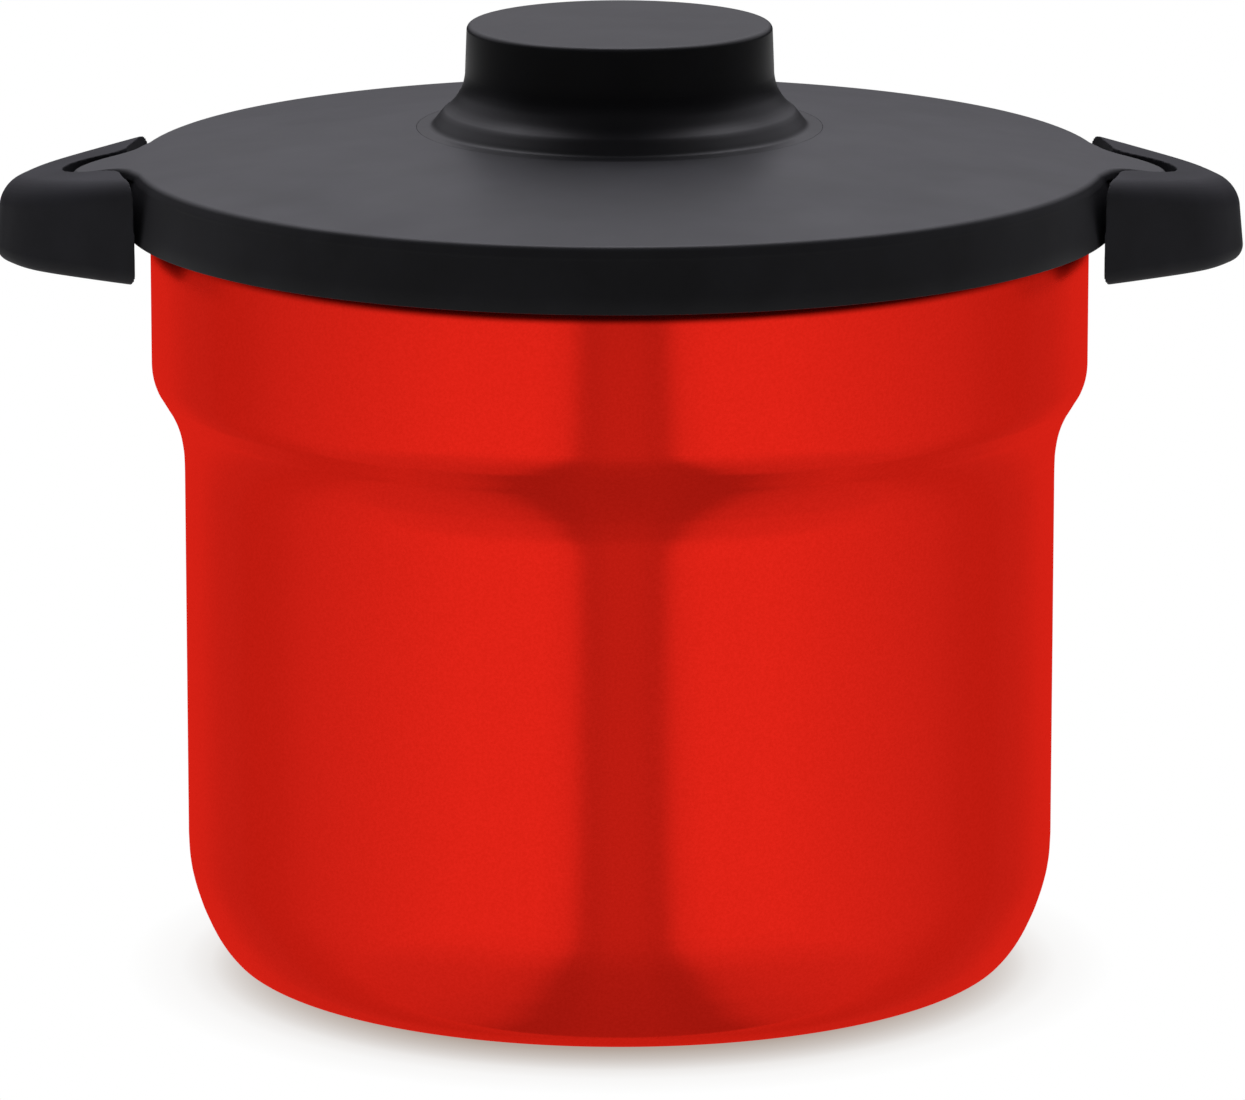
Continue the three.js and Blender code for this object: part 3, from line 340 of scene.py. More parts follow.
class Finish(Nodes):
    """A principled material whose colour, roughness and relief come from noise in object space."""

    def __init__(self, name, **values):
        self.material = bpy.data.materials.new(name)
        self.material.use_nodes = True
        super().__init__(self.material.node_tree)
        self.shader = self.tree.nodes["Principled BSDF"]
        for key, value in values.items():
            self.shader.inputs[key.replace("_", " ")].default_value = value
        self.place = self.make("ShaderNodeTexCoord").outputs["Object"]

    def feed(self, source, name):
        self.tree.links.new(source, self.shader.inputs[name])

    def source(self, name):
        return self.shader.inputs[name].links[0].from_socket

    def noise(self, per_metre, detail, vector=None):
        inputs = {"Vector": vector or self.place, "Scale": per_metre, "Detail": detail}
        return self.make("ShaderNodeTexNoise", inputs).outputs["Fac"]

    def coloured(self, noise, first, last):
        share = self.ranged(noise, *NOISE_SPAN)
        self.feed(self.mixed(share, (*first, 1), (*last, 1)), "Base Color")

    def rough(self, noise, first, last):
        self.feed(self.ranged(noise, *NOISE_SPAN, first, last), "Roughness")

    def relief(self, noise, depth, strength):
        inputs = {"Height": noise, "Distance": depth, "Strength": strength}
        self.feed(self.make("ShaderNodeBump", inputs).outputs["Normal"], "Normal")

    def dulled(self):
        """Adds roughness beyond the dull limits."""
        share = DULLING
        for part, axis in zip(self.split(self.place), "XYZ"):
            if axis in DULL_LIMITS:
                away = self.math("ABSOLUTE", part)
                rise = self.ranged(away, *DULL_LIMITS[axis], curve="SMOOTHSTEP")
                share = self.math("MULTIPLY", rise, share)
        self.feed(self.math("ADD", self.source("Roughness"), share), "Roughness")

    def deep_edges(self):
        """Keeps the colour of a metal's reflection towards its outline, where it would turn white."""
        inputs = {"Color": self.source("Base Color"), "Roughness": self.source("Roughness"),
                  "Normal": self.source("Normal")}
        mirror = self.make("ShaderNodeBsdfAnisotropic", inputs).outputs["BSDF"]
        weight = self.make("ShaderNodeLayerWeight").outputs["Facing"]
        share = self.ranged(weight, *OUTLINE_SPAN)
        mix = self.make("ShaderNodeMixShader", {"Fac": share, 1: self.shader.outputs["BSDF"], 2: mirror})
        self.tree.links.new(mix.outputs["Shader"], self.tree.nodes["Material Output"].inputs["Surface"])

    def round_brushing(self, per_metre):
        """Fine lines that run round Z, as a turned sheet has them."""
        x, y, z = self.split(self.place)
        angle = self.math("MULTIPLY", self.math("ARCTAN2", y, x), LINE_CHANGE)
        radius = self.length(self.make("ShaderNodeCombineXYZ", {"X": x, "Y": y}).outputs["Vector"])
        joined = self.make("ShaderNodeCombineXYZ", {"X": angle, "Y": radius, "Z": z})
        return self.noise(per_metre, 3.0, joined.outputs["Vector"])


def finished(name, colour, rough, relief, **values):
    """A finish of three noises, each given per metre and with its detail. One mixes two colours, one
    sets the roughness between two values, and one raises the surface by a depth with a strength."""
    finish = Finish(name, **values)
    finish.coloured(finish.noise(*colour[:2]), *colour[2:])
    finish.rough(finish.noise(*rough[:2]), *rough[2:])
    finish.relief(finish.noise(*relief[:2]), *relief[2:])
    return finish


def red_paint():
    finish = finished(
        "red_paint", (1400, 1.0, (0.71, 0.0150, 0.0070), (0.77, 0.0175, 0.0090)), (18, 3.0, 0.085, 0.11),
        (260, 1.0, 0.02 * MM, 0.1), Metallic=1.0, Specular_Tint=(0.87, 0.45, 0.45, 1))
    finish.dulled()
    finish.deep_edges()
    return finish.material


def black_plastic(name, tone, ior, gloss):
    first = (tone, tone, tone * 1.08)
    last = (tone * 1.3, tone * 1.3, tone * 1.45)
    return finished(name, (60, 3.0, first, last), (35, 3.0, gloss, gloss + 0.06),
                    (2600, 2.0, 0.03 * MM, 0.35), IOR=ior).material


def satin_steel():
    finish = Finish("satin_steel", Metallic=1.0)
    lines = finish.round_brushing(2600)
    finish.coloured(finish.noise(12, 3.0), (0.56, 0.57, 0.58), (0.62, 0.63, 0.64))
    finish.rough(lines, 0.24, 0.36)
    finish.relief(lines, 0.012 * MM, 0.3)
    return finish.material


RED = red_paint()
BLACK = black_plastic("black_plastic", 0.011, 1.2, 0.44)
KNOB_BLACK = black_plastic("knob_plastic", 0.005, 1.19, 0.38)
HANDLE_BLACK = black_plastic("handle_plastic", 0.017, 1.1, 0.5)
GREY = finished(
    "grey_plastic", (60, 3.0, (0.030, 0.030, 0.032), (0.036, 0.036, 0.039)), (35, 3.0, 0.42, 0.5),
    (2200, 2.0, 0.04 * MM, 0.4), IOR=1.48).material
STEEL = satin_steel()
WIRE = finished(
    "drawn_steel", (90, 2.0, (0.56, 0.57, 0.58), (0.64, 0.65, 0.66)), (400, 3.0, 0.16, 0.28),
    (900, 2.0, 0.01 * MM, 0.3), Metallic=1.0).material
ZINC = finished(
    "zinc_plate", (700, 2.0, (0.46, 0.48, 0.50), (0.58, 0.59, 0.58)), (500, 3.0, 0.28, 0.42),
    (1500, 2.0, 0.01 * MM, 0.3), Metallic=1.0).material
COPPER = finished(
    "copper", (120, 3.0, (0.62, 0.28, 0.14), (0.72, 0.36, 0.20)), (200, 3.0, 0.25, 0.4),
    (500, 2.0, 0.02 * MM, 0.4), Metallic=1.0).material
FOAM = finished(
    "foam", (300, 3.0, (0.72, 0.64, 0.44), (0.82, 0.75, 0.56)), (300, 3.0, 0.85, 0.95),
    (900, 3.0, 0.3 * MM, 0.6)).material
SILICONE = finished(
    "silicone", (150, 2.0, (0.66, 0.66, 0.63), (0.74, 0.74, 0.71)), (300, 2.0, 0.45, 0.6),
    (1800, 2.0, 0.02 * MM, 0.3), IOR=1.41).material
GLASS = finished(
    "clear_glass", (20, 2.0, (0.90, 0.94, 0.93), (0.93, 0.96, 0.95)), (40, 2.0, 0.0, 0.03),
    (60, 1.0, 0.01 * MM, 0.2), IOR=1.5, Transmission_Weight=1.0).material
MATERIAL_OF_SLOT = {
    "red_paint": RED, "steel": STEEL, "copper": COPPER, "zinc": ZINC, "black_plastic": BLACK,
    "grey_plastic": GREY, "foam": FOAM, "silicone": SILICONE, "glass": GLASS,
}


# The container

STEP = {"bottom": 133 * MM, "top": 163 * MM}
LOWER_RADIUS = 117.2 * MM
CORNER_HEIGHT = 33 * MM
FOOT_RADIUS = 103 * MM
FOOT_WIDTH = 5 * MM
SHEET = 0.8 * MM
VACUUM_GAP = 5 * MM
# The neck draws slightly inwards from here on, with this radius and over this angle
NECK = {"start": 196.4 * MM, "radius": 34 * MM, "turn": 0.13}
COLLAR = {"outer": 128.6 * MM, "inner": 119.4 * MM, "skirt_bottom": 200.8 * MM, "edge": 0.8 * MM,
          "lug_half": 12 * MM, "lug_top": 207.6 * MM}

# The shoulder step in shares of its height and depth
STEP_SHARES = [
    (0, 0), (0.1, 0.006), (0.21, 0.027), (0.34, 0.098), (0.41, 0.157), (0.478, 0.233), (0.545, 0.33),
    (0.61, 0.442), (0.665, 0.56), (0.72, 0.674), (0.765, 0.77), (0.802, 0.846), (0.845, 0.905),
    (0.885, 0.948), (0.94, 0.984), (1, 1)]
# The bottom corner in shares of its height and inset
CORNER_SHARES = [
    (0, 1), (0.003, 0.95), (0.012, 0.9), (0.026, 0.845), (0.048, 0.78), (0.11, 0.655), (0.18, 0.542),
    (0.26, 0.437), (0.347, 0.342), (0.436, 0.254), (0.524, 0.183), (0.61, 0.122), (0.7, 0.07),
    (0.78, 0.037), (0.87, 0.014), (1, 0)]


def step_outline(inset, steps=4):
    depth, rise = high("outer_shell").x - LOWER_RADIUS, STEP["top"] - STEP["bottom"]
    return curve_through([(LOWER_RADIUS + b * depth - inset, STEP["bottom"] + a * rise)
                          for a, b in STEP_SHARES], steps)


def corner_outline(inset, steps=4):
    depth, rise = LOWER_RADIUS - FOOT_RADIUS, CORNER_HEIGHT - inset
    return curve_through([(LOWER_RADIUS - b * depth - inset, inset + a * rise)
                          for a, b in CORNER_SHARES], steps)


def neck_outline(inset):
    """The shell's slight draw inwards below the collar, and its straight end under it."""
    upper, top = high("outer_shell").x - inset, high("outer_shell").z
    arc = [(upper - NECK["radius"] * (1 - math.cos(a)), NECK["start"] + NECK["radius"] * math.sin(a))
           for a in np.linspace(0, NECK["turn"], 8)]
    return arc + [(arc[-1][0], top)]


def outer_shell():
    inner_edge = FOOT_RADIUS - FOOT_WIDTH
    foot_top = high("outer_bottom").z
    straight = [(LOWER_RADIUS, z) for z in np.linspace(CORNER_HEIGHT, STEP["bottom"], 5)[1:-1]]
    outside = corner_outline(0) + straight + step_outline(0) + neck_outline(0)
    inside = corner_outline(SHEET, 1) + step_outline(SHEET, 1) + neck_outline(SHEET)
    foot = [(inner_edge + SHEET, SHEET), (inner_edge + SHEET, foot_top), (inner_edge, foot_top),
            (inner_edge, SHEET), (inner_edge + SHEET, 0)]
    piece = revolved("red_shell", outside + inside[::-1] + foot, FINE_SIDES)
    return dress(piece, RED, "outer_shell")


def inner_vessel():
    node = "inner_vessel"
    floor, mouth, flange = low(node).z, high(node).z, high(node).x
    inset = SHEET + VACUUM_GAP
    radius, corner = LOWER_RADIUS - inset, 9 * MM

    def side(extra, edge, base):
        wall = radius - extra
        bend = filleted([(0, base), (wall, base, corner - extra), (wall, base + corner)])
        return bend + step_outline(inset + extra, 2) + [(flange - inset - extra, edge)]

    outside = side(0, mouth - SHEET, floor)
    inside = side(SHEET, mouth, floor + SHEET)
    lip = [(flange, mouth - SHEET), (flange, mouth)]
    piece = revolved("steel_vessel", outside + lip + inside[::-1])
    return dress(piece, STEEL, node)


def outer_bottom():
    node = "outer_bottom"
    bottom, top, radius = low(node).z, high(node).z, high(node).x
    bead, hole = 1.2 * MM, 2.2 * MM
    profile = [(hole, bottom)]
    for share in (0.3, 0.62):
        crest = radius * share
        profile += filleted([
            (crest - 3 * bead, bottom), (crest - bead, bottom, bead), (crest, bottom - bead / 2, bead),
            (crest + bead, bottom, bead), (crest + 3 * bead, bottom)], 3)
    profile += [(radius, bottom), (radius, top), (hole, top)]
    return dress(revolved("bottom_plate", profile), STEEL, node)


def seal_cover():
    node = "seal_cover"
    bottom, top, radius = low(node).z, high(node).z, high(node).x
    rounding = 0.8 * MM
    profile = filleted([(0, bottom), (radius, bottom, rounding), (radius, top), (0, top)])
    return dress(revolved("seal_cap", profile, SMALL_SIDES), BLACK, node)


def collar_ring():
    node = "collar_ring"
    top, reach, lug_bottom = high(node).z, high(node).x, low(node).z
    outer, inner, edge = COLLAR["outer"], COLLAR["inner"], COLLAR["edge"]
    skirt_inner, skirt_bottom = high("outer_shell").x + GAP, COLLAR["skirt_bottom"]
    web = high("inner_vessel").z + GAP
    profile = filleted([
        (inner, web), (skirt_inner, web), (skirt_inner, skirt_bottom), (outer, skirt_bottom, edge / 2),
        (outer, top, edge), (inner, top, edge), (inner, web)])[:-1]
    piece = revolved("collar", profile)
    half = COLLAR["lug_half"]
    for side in (1, -1):
        lug = cuboid("lug", skirt_inner + edge, reach, -half, half, lug_bottom, COLLAR["lug_top"])
        carve(lug, revolved("bore", [(0, 0), (skirt_inner, 0), (skirt_inner, web), (0, web)]))
        carve(piece, lug if side > 0 else turned_about(lug), "UNION")
    return dress(piece, BLACK, node)


# The outer lid

LID = {
    "arris_radius": 130.2 * MM, "arris_z": 218.1 * MM, "rounding": 1.7 * MM, "crown_power": 1.2,
    "seat_radius": 54.4 * MM, "seat_z": 226.6 * MM, "seat_depth": 2 * MM, "bottom": 200.9 * MM,
    "wall": 3 * MM, "band_wall": 2 * MM, "roof_inset": 4 * MM, "edge": 0.5 * MM, "chamfer": 0.15 * MM}
# The notches in the lid's band, which pass the collar's lugs
NOTCH = {"inner": 126.6 * MM, "half": 15.5 * MM, "top": 209 * MM}
EAR = {"slope": 0.15, "droop": 3.1, "thickness": 3.2 * MM, "root_drop": 0.6 * MM, "half": 24.8 * MM}
# Half of the ear's outline, from the arris to the tip, in shares of its reach and half width
EAR_SHARES = [
    (-0.145, 1), (-0.03, 0.79), (0.065, 0.63), (0.2, 0.505), (0.375, 0.42), (0.575, 0.36), (0.78, 0.28),
    (0.915, 0.185), (0.98, 0.09), (1, 0)]
EAR_COLUMNS = 70
RIM_COLUMNS = 44
SEAT_SHARE = 0.6

KNOB = {"flat": 38 * MM, "rim": 40.85 * MM, "rounding": 2.3 * MM, "side": (41.25 * MM, 244 * MM),
        "bore": 38.4 * MM, "wall": 3 * MM}
# The knob's outline in millimetres, from its waist over a small ridge to the flared edge
KNOB_FLARE = [
    (41.35, 241), (41.55, 239.7), (41.9, 238.2), (42.5, 236.6), (43.3, 235.2), (44.4, 233.6), (45.4, 232.5),
    (46.3, 231.75), (47.1, 231.15), (47.8, 230.4), (48.5, 229.5), (49.3, 228.45), (50.1, 227.4),
    (50.8, 226.95), (51.7, 226.8), (53, 226.7)]

PLATE = {"radius": 117.5 * MM, "sheet": 2 * MM, "corner": 3 * MM, "edge": 0.5 * MM, "bead": 0.8 * MM,
         "rounding": 1 * MM}
# The plate's beads, and where one's foot and shoulder lie beside its crest, in shares of the radius
PLATE_BEADS = (0.25, 0.5, 0.75)
BEAD_FOOT, BEAD_SHOULDER = 0.03, 0.01


def ear_curve(steps=8):
    reach = high("lid_top").x - LID["arris_radius"]
    return curve_through([(LID["arris_radius"] + a * reach, b * EAR["half"]) for a, b in EAR_SHARES], steps)


def rim_radius():
    """Angle and plan radius of the lid's arris, ears included, for the columns of the lid's mesh."""
    run = ear_curve()[::-1]
    angles = [math.atan2(y, x) for x, y in run]
    radii = [math.hypot(x, y) for x, y in run]
    edge = angles[-1]
    fine = np.concatenate([np.linspace(0, edge, EAR_COLUMNS),
                           np.linspace(edge, math.pi / 2, RIM_COLUMNS)[1:]])
    radius = np.where(fine <= edge, np.interp(fine, angles, radii), LID["arris_radius"])
    quarter = list(zip(fine, np.maximum(radius, LID["arris_radius"])))
    half = quarter + [(math.pi - a, r) for a, r in quarter[-2::-1]]
    return half + [(2 * math.pi - a, r) for a, r in half[-2:0:-1]]


def crown(radius):
    """Height of the lid's top surface, which runs on into the ears."""
    start = LID["arris_radius"] - LID["rounding"]
    share = min(1, max(0, (radius - LID["seat_radius"]) / (start - LID["seat_radius"])))
    height = LID["seat_z"] - (LID["seat_z"] - LID["arris_z"]) * share ** LID["crown_power"]
    past = max(0, radius - start)
    return height - EAR["slope"] * past - EAR["droop"] * past * past


def lid_column(rim):
    """The (r, z) outline of the lid at one angle, from the knob's seat round to the roof's underside."""
    outer, bottom = high("lid_top").y, LID["bottom"]
    rounding, wall, edge, chamfer = LID["rounding"], LID["wall"], LID["edge"], LID["chamfer"]
    lean = (outer - LID["arris_radius"]) / (LID["arris_z"] - bottom)

    def band(z):
        return LID["arris_radius"] + lean * (LID["arris_z"] - z)

    start = rim - rounding
    start_z = crown(start)
    radii = [LID["seat_radius"] + s * (start - LID["seat_radius"]) for s in np.linspace(0, 1, 12)]
    top = [(r, crown(r)) for r in radii]
    arc = [(start + rounding * math.sin(a), start_z - rounding * (1 - math.cos(a)))
           for a in np.linspace(0, math.pi / 2, 7)[1:]]
    ear_low = start_z - EAR["thickness"]
    root = LID["arris_z"] - EAR["thickness"] - EAR["root_drop"]
    ear = [(max(band(ear_low), rim), ear_low + edge), (max(band(ear_low), rim - edge), ear_low),
           (band(root), min(root, ear_low))]
    face = [(band(z), z) for z in np.linspace(ear[-1][1], bottom + edge, 4)[1:]]
    foot = [(outer - chamfer, bottom + chamfer), (outer - edge, bottom), (outer - LID["band_wall"], bottom)]
    inner = [(LID["arris_radius"] - LID["band_wall"], LID["arris_z"] - wall - rounding)]
    roof_start = LID["arris_radius"] - LID["roof_inset"]
    roof = [(r, crown(r) - wall) for r in np.linspace(roof_start, LID["seat_radius"] - wall, 5)[:-1]]
    return top + arc + ear + face + foot + inner + roof


def lid_top():
    radius, seat, wall = LID["seat_radius"], LID["seat_z"] - LID["seat_depth"], LID["wall"]
    verts, faces = [], []
    columns = rim_radius()
    for angle, rim in columns:
        outline = [((radius - wall) * SEAT_SHARE, seat), (radius, seat), *lid_column(rim),
                   (radius - wall, seat - wall)]
        verts += [(r * math.cos(angle), r * math.sin(angle), z) for r, z in outline]
    count, rows = len(columns), len(outline)
    top_pole, bottom_pole = len(verts), len(verts) + 1
    verts += [(0, 0, seat), (0, 0, seat - wall)]
    for c in range(count):
        n = (c + 1) % count
        for r in range(rows - 1):
            faces.append((c * rows + r, c * rows + r + 1, n * rows + r + 1, n * rows + r))
        faces.append((top_pole, c * rows, n * rows))
        faces.append((bottom_pole, n * rows + rows - 1, c * rows + rows - 1))
    piece = outward(mesh_piece("lid_shell", verts, faces))
    outer, bottom, half = high("lid_top").y + PAST, LID["bottom"] - PAST, NOTCH["half"]
    for side in (1, -1):
        notch = cuboid("notch", NOTCH["inner"], outer, -half, half, bottom, NOTCH["top"])
        carve(piece, notch if side > 0 else turned_about(notch))
    return dress(piece, BLACK, "lid_top", angle=38)


def lid_knob():
    node = "lid_knob"
    bottom, top, flange = low(node).z, high(node).z, high(node).x
    ceiling, bore = top - KNOB["wall"], KNOB["bore"]
    crest = [(KNOB["flat"], top), (KNOB["rim"], top, KNOB["rounding"]), KNOB["side"]]
    profile = [(0, top)] + filleted(crest, 8)
    profile += curve_through([(r * MM, z * MM) for r, z in KNOB_FLARE], 5)
    profile += [(flange, LID["seat_z"]), (flange, bottom), (bore, bottom), (bore, ceiling), (0, ceiling)]
    return dress(revolved("knob", profile), KNOB_BLACK, node)


def lid_inner_plate():
    node = "lid_inner_plate"
    bottom, top, flange = low(node).z, high(node).z, high(node).x
    radius, sheet, corner, edge = PLATE["radius"], PLATE["sheet"], PLATE["corner"], PLATE["edge"]
    crest, soft = bottom + PLATE["bead"], PLATE["rounding"]
    profile = [(0, bottom)]
    for ring in PLATE_BEADS:
        profile += filleted([
            (radius * (ring - BEAD_FOOT), bottom), (radius * (ring - BEAD_SHOULDER), bottom, soft),
            (radius * ring, crest, soft), (radius * (ring + BEAD_SHOULDER), bottom, soft),
            (radius * (ring + BEAD_FOOT), bottom)], 3)
    profile += filleted([
        (radius - 2 * corner, bottom), (radius, bottom, corner), (radius, top - sheet, soft),
        (flange, top - sheet, edge), (flange, top, edge), (radius - sheet, top),
        (radius - sheet, bottom + sheet, soft), (0, bottom + sheet)])
    return dress(revolved("lid_plate", profile), GREY, node)


def lid_seal():
    node = "lid_seal"
    middle, thick = (high(node).z + low(node).z) / 2, (high(node).z - low(node).z) / 2
    circle = high(node).x - thick
    profile = [(circle + thick * math.cos(a), middle + thick * math.sin(a)) for a in full_turn(12)]
    return dress(revolved("seal_ring", profile), SILICONE, node)


# The handles

HANDLE = {
    "end_x": 121 * MM, "end_y": 46 * MM, "arm_top": 218 * MM, "arm_x": 130.2 * MM, "slope": 0.15,
    "widest": 195.6 * MM, "draft": 0.04, "top_rounding": 4.4 * MM, "tip_rounding": 8 * MM,
    "bottom_rounding": 4.4 * MM, "lid_gap": 1.3 * MM, "wall": 5.6 * MM, "arm_wall": 3.5 * MM,
    "ear_gap": 2.7 * MM, "pocket_floor": 210.2 * MM, "pocket_reach": 8 * MM, "cavity_top": 207 * MM,
    "root_half": 13 * MM, "root_start": 2 * MM, "root_depth": 141 * MM, "root_bottom": 198.4 * MM,
    "root_top": 208 * MM, "voxel": 0.32 * MM}
# Half of the handle's outline, from the arm's end to the tip, in shares of its reach and half width
HANDLE_SHARES = [(0, 1), (0.44, 0.697), (0.79, 0.416), (0.955, 0.164), (1, 0)]


def handle_plan(inset, steps=14):
    reach = high("right_handle_shell").x - HANDLE["end_x"]
    half = [(HANDLE["end_x"] + a * reach, b * HANDLE["end_y"]) for a, b in HANDLE_SHARES]
    return shifted(curve_through(both_halves(half), steps), -inset)


def handle_top(x):
    return HANDLE["arm_top"] - HANDLE["slope"] * (x - HANDLE["arm_x"])


def handle_blank():
    node = "right_handle_shell"
    bottom, length = low(node).z, high(node).x - HANDLE["end_x"]
    low_r, top_r, tip_r = (HANDLE[f"{part}_rounding"] for part in ("bottom", "top", "tip"))
    rings = []
    for a in np.linspace(0, math.pi / 2, 9):
        run = handle_plan(low_r * (1 - math.sin(a)))
        rings.append([(x, y, bottom + low_r * (1 - math.cos(a))) for x, y in run])
    lean = HANDLE["draft"] * (handle_top(HANDLE["end_x"]) - HANDLE["widest"])
    for a in np.linspace(0, math.pi / 2, 11):
        ring = []
        arm_run = handle_plan(lean + top_r * (1 - math.cos(a)))
        tip_run = handle_plan(lean + tip_r * (1 - math.cos(a)))
        for arm, tip in zip(arm_run, tip_run):
            share = (arm[0] - HANDLE["end_x"]) / length
            x, y = (p + share * (q - p) for p, q in zip(arm, tip))
            ring.append((x, y, handle_top(x) - (top_r + share * (tip_r - top_r)) * (1 - math.sin(a))))
        rings.append(ring)
    return lofted("handle", rings)


def handle_room(name, margin, bottom, top):
    room = prism(name, handle_plan(HANDLE["wall"] + margin), bottom, top)
    bottom, top = bottom - PAST, top + PAST
    arm = high("lid_top").y + HANDLE["lid_gap"] + HANDLE["arm_wall"] + margin
    carve(room, revolved("arms", [(0, bottom), (arm, bottom), (arm, top), (0, top)]))
    half = HANDLE["root_half"] + margin
    root = cuboid("root", HANDLE["end_x"], HANDLE["root_depth"] + margin, -half, half, bottom, top)
    return carve(room, root)


def softened(piece):
    """Rebuilds a cut solid in small even faces and rounds its edges slightly."""
    remesh = piece.modifiers.new("even", "REMESH")
    remesh.mode = "VOXEL"
    remesh.voxel_size = HANDLE["voxel"]
    smooth = piece.modifiers.new("soft", "SMOOTH")
    smooth.factor = 0.5
    smooth.iterations = 3
    return baked(piece)


def handle_shell(side):
    prefix = "right" if side > 0 else "left"
    node = f"{prefix}_handle_shell"
    piece = handle_blank()
    bottom, top = low(node).z - PAST, high(node).z + 2 * PAST
    inner = high("lid_top").y + HANDLE["lid_gap"]
    carve(piece, revolved("lid_room", [(0, bottom), (inner, bottom), (inner, top), (0, top)], FINE_SIDES))
    run = both_halves(ear_curve(4))
    back = [(x - HANDLE["pocket_reach"], y) for x, y in (run[-1], run[0])]
    carve(piece, prism("pocket", shifted(run, HANDLE["ear_gap"]) + back, HANDLE["pocket_floor"], top))
    carve(piece, handle_room("room", 0, bottom, HANDLE["cavity_top"]))
    half = HANDLE["root_half"]
    root = cuboid("root", high("collar_ring").x + GAP, inner + HANDLE["root_start"], -half, half,
                  HANDLE["root_bottom"], HANDLE["root_top"])
    carve(piece, root, "UNION")
    softened(piece)
    if side < 0:
        turned_about(piece)
    piece.name = f"{prefix}_handle"
    return dress(piece, HANDLE_BLACK, node, angle=60)


def handle_cover(side):
    prefix = "right" if side > 0 else "left"
    node = f"{prefix}_handle_cover"
    piece = handle_room(f"{prefix}_cover", GAP, low(node).z, high(node).z)
    if side < 0:
        turned_about(piece)
    return dress(piece, BLACK, node)


# The pot and its lid

POT = {"radius": 108.5 * MM, "corner": 9 * MM, "rim": 1 * MM, "bend": 0.8 * MM, "lip": 0.45 * MM}
# The bail's ends go into the lugs at this distance from the middle, and its arc starts at this angle
BAIL = {"end": 110.75 * MM, "thick": 2 * MM, "bend": 2.3 * MM, "start": 0.03}
# The grip's swell along its half length: its mean and wave, its ends, and where and how fast it tapers
GRIP = {"mean": 0.82, "wave": 0.18, "end": 0.6, "taper_start": 0.96, "taper": 8}
GLASS_DOME = {"thick": 3.6 * MM, "hole": 3.2 * MM, "flat": 5 * MM}
BAND = {"sheet": 1 * MM, "inner": 105.2 * MM, "lip": 107.1 * MM, "edge": 0.45 * MM}
# The glass lid's knob, with shares of its radius and height
KNOP = {"neck": 9.5 * MM, "hole": 2.8 * MM, "depth": 12 * MM, "neck_rise": 0.3, "under": (0.98, 0.5),
        "widest_rise": 0.8, "shoulder": 0.82, "drop": 0.4 * MM, "flat": 0.3, "foot_rounding": 1 * MM,
        "neck_rounding": 5 * MM, "side_rounding": 3 * MM, "top_rounding": 4 * MM}


def pot_body():
    node = "pot_body"
    floor, rim, flange = low(node).z, high(node).z, high(node).x
    radius, corner, bend, lip = POT["radius"], POT["corner"], POT["bend"], POT["lip"]
    under = rim - POT["rim"]
    profile = [(0, floor)] + filleted([
        (radius - 2 * corner, floor), (radius, floor, corner), (radius, under, bend), (flange, under, lip),
        (flange, rim, lip), (radius - SHEET, rim, bend), (radius - SHEET, floor + SHEET, corner - SHEET),
        (radius - 2 * corner, floor + SHEET)])
    profile += [(0, floor + SHEET)]
    return dress(revolved("pot_wall", profile), STEEL, node)


def pot_base():
    node = "pot_base"
    bottom, top, radius = low(node).z, high(node).z, high(node).x
    rounding, edge = 1.5 * MM, 0.5 * MM
    profile = filleted([(0, bottom), (radius, bottom, rounding), (radius, top, edge), (0, top)])
    return dress(revolved("pot_foot", profile), STEEL, node)


def tube(name, path, radius, sides):
    """A round tube with flat ends along a run of points in a level plane."""
    rings = []
    for i, point in enumerate(path):
        a, b = Vector(path[max(i - 1, 0)]), Vector(path[min(i + 1, len(path) - 1)])
        rings.append(hoop(Vector(point), (b - a).normalized().cross(UP), radius, sides))
    return lofted(name, rings)


def bail_wire():
    node = "bail_wire"
    circle = high(node).y - BAIL["thick"]
    middle = (high(node).z + low(node).z) / 2
    arc = [(circle * math.cos(a), circle * math.sin(a), middle)
           for a in np.linspace(BAIL["start"], math.pi - BAIL["start"], 90)]
    bend = filleted([(BAIL["end"], 0), (circle, 0, BAIL["bend"]), arc[0][:2]], 6)[:-1]
    entry = [(x, y, middle) for x, y in bend]
    path = entry + arc + [(-x, y, z) for x, y, z in entry[::-1]]
    return dress(tube("bail", path, BAIL["thick"], 20), WIRE, node)


def bail_grip():
    node = "bail_grip"
    middle, thick = (high(node).z + low(node).z) / 2, (high(node).z - low(node).z) / 2
    circle = high(node).y - thick
    span = math.asin(high(node).x / (circle + thick / 2))
    rings = []
    for t in np.linspace(-1, 1, 41):
        swell = GRIP["mean"] + GRIP["wave"] * math.cos(t * math.pi) if abs(t) < 1 else GRIP["end"]
        swell = min(swell, 1 - max(0, abs(t) - GRIP["taper_start"]) * GRIP["taper"])
        angle = math.pi / 2 + t * span
        out = Vector((math.cos(angle), math.sin(angle), 0))
        rings.append(hoop(out * circle + middle * UP, out, thick * swell, 24))
    return dress(lofted("grip", rings), BLACK, node)


def pot_lid_glass():
    node = "pot_lid_glass"
    bottom, top, radius = low(node).z, high(node).z, high(node).x
    thick, hole = GLASS_DOME["thick"], GLASS_DOME["hole"]
    rise, start = top - bottom - thick, radius - GLASS_DOME["flat"]
    run = [(start - s * (start - hole), bottom + rise * (1 - (1 - s) ** 2)) for s in np.linspace(0, 1, 24)]
    profile = [(radius, bottom), (radius, bottom + thick)] + [(r, z + thick) for r, z in run] + run[::-1]
    return dress(revolved("glass_dome", profile), GLASS, node)


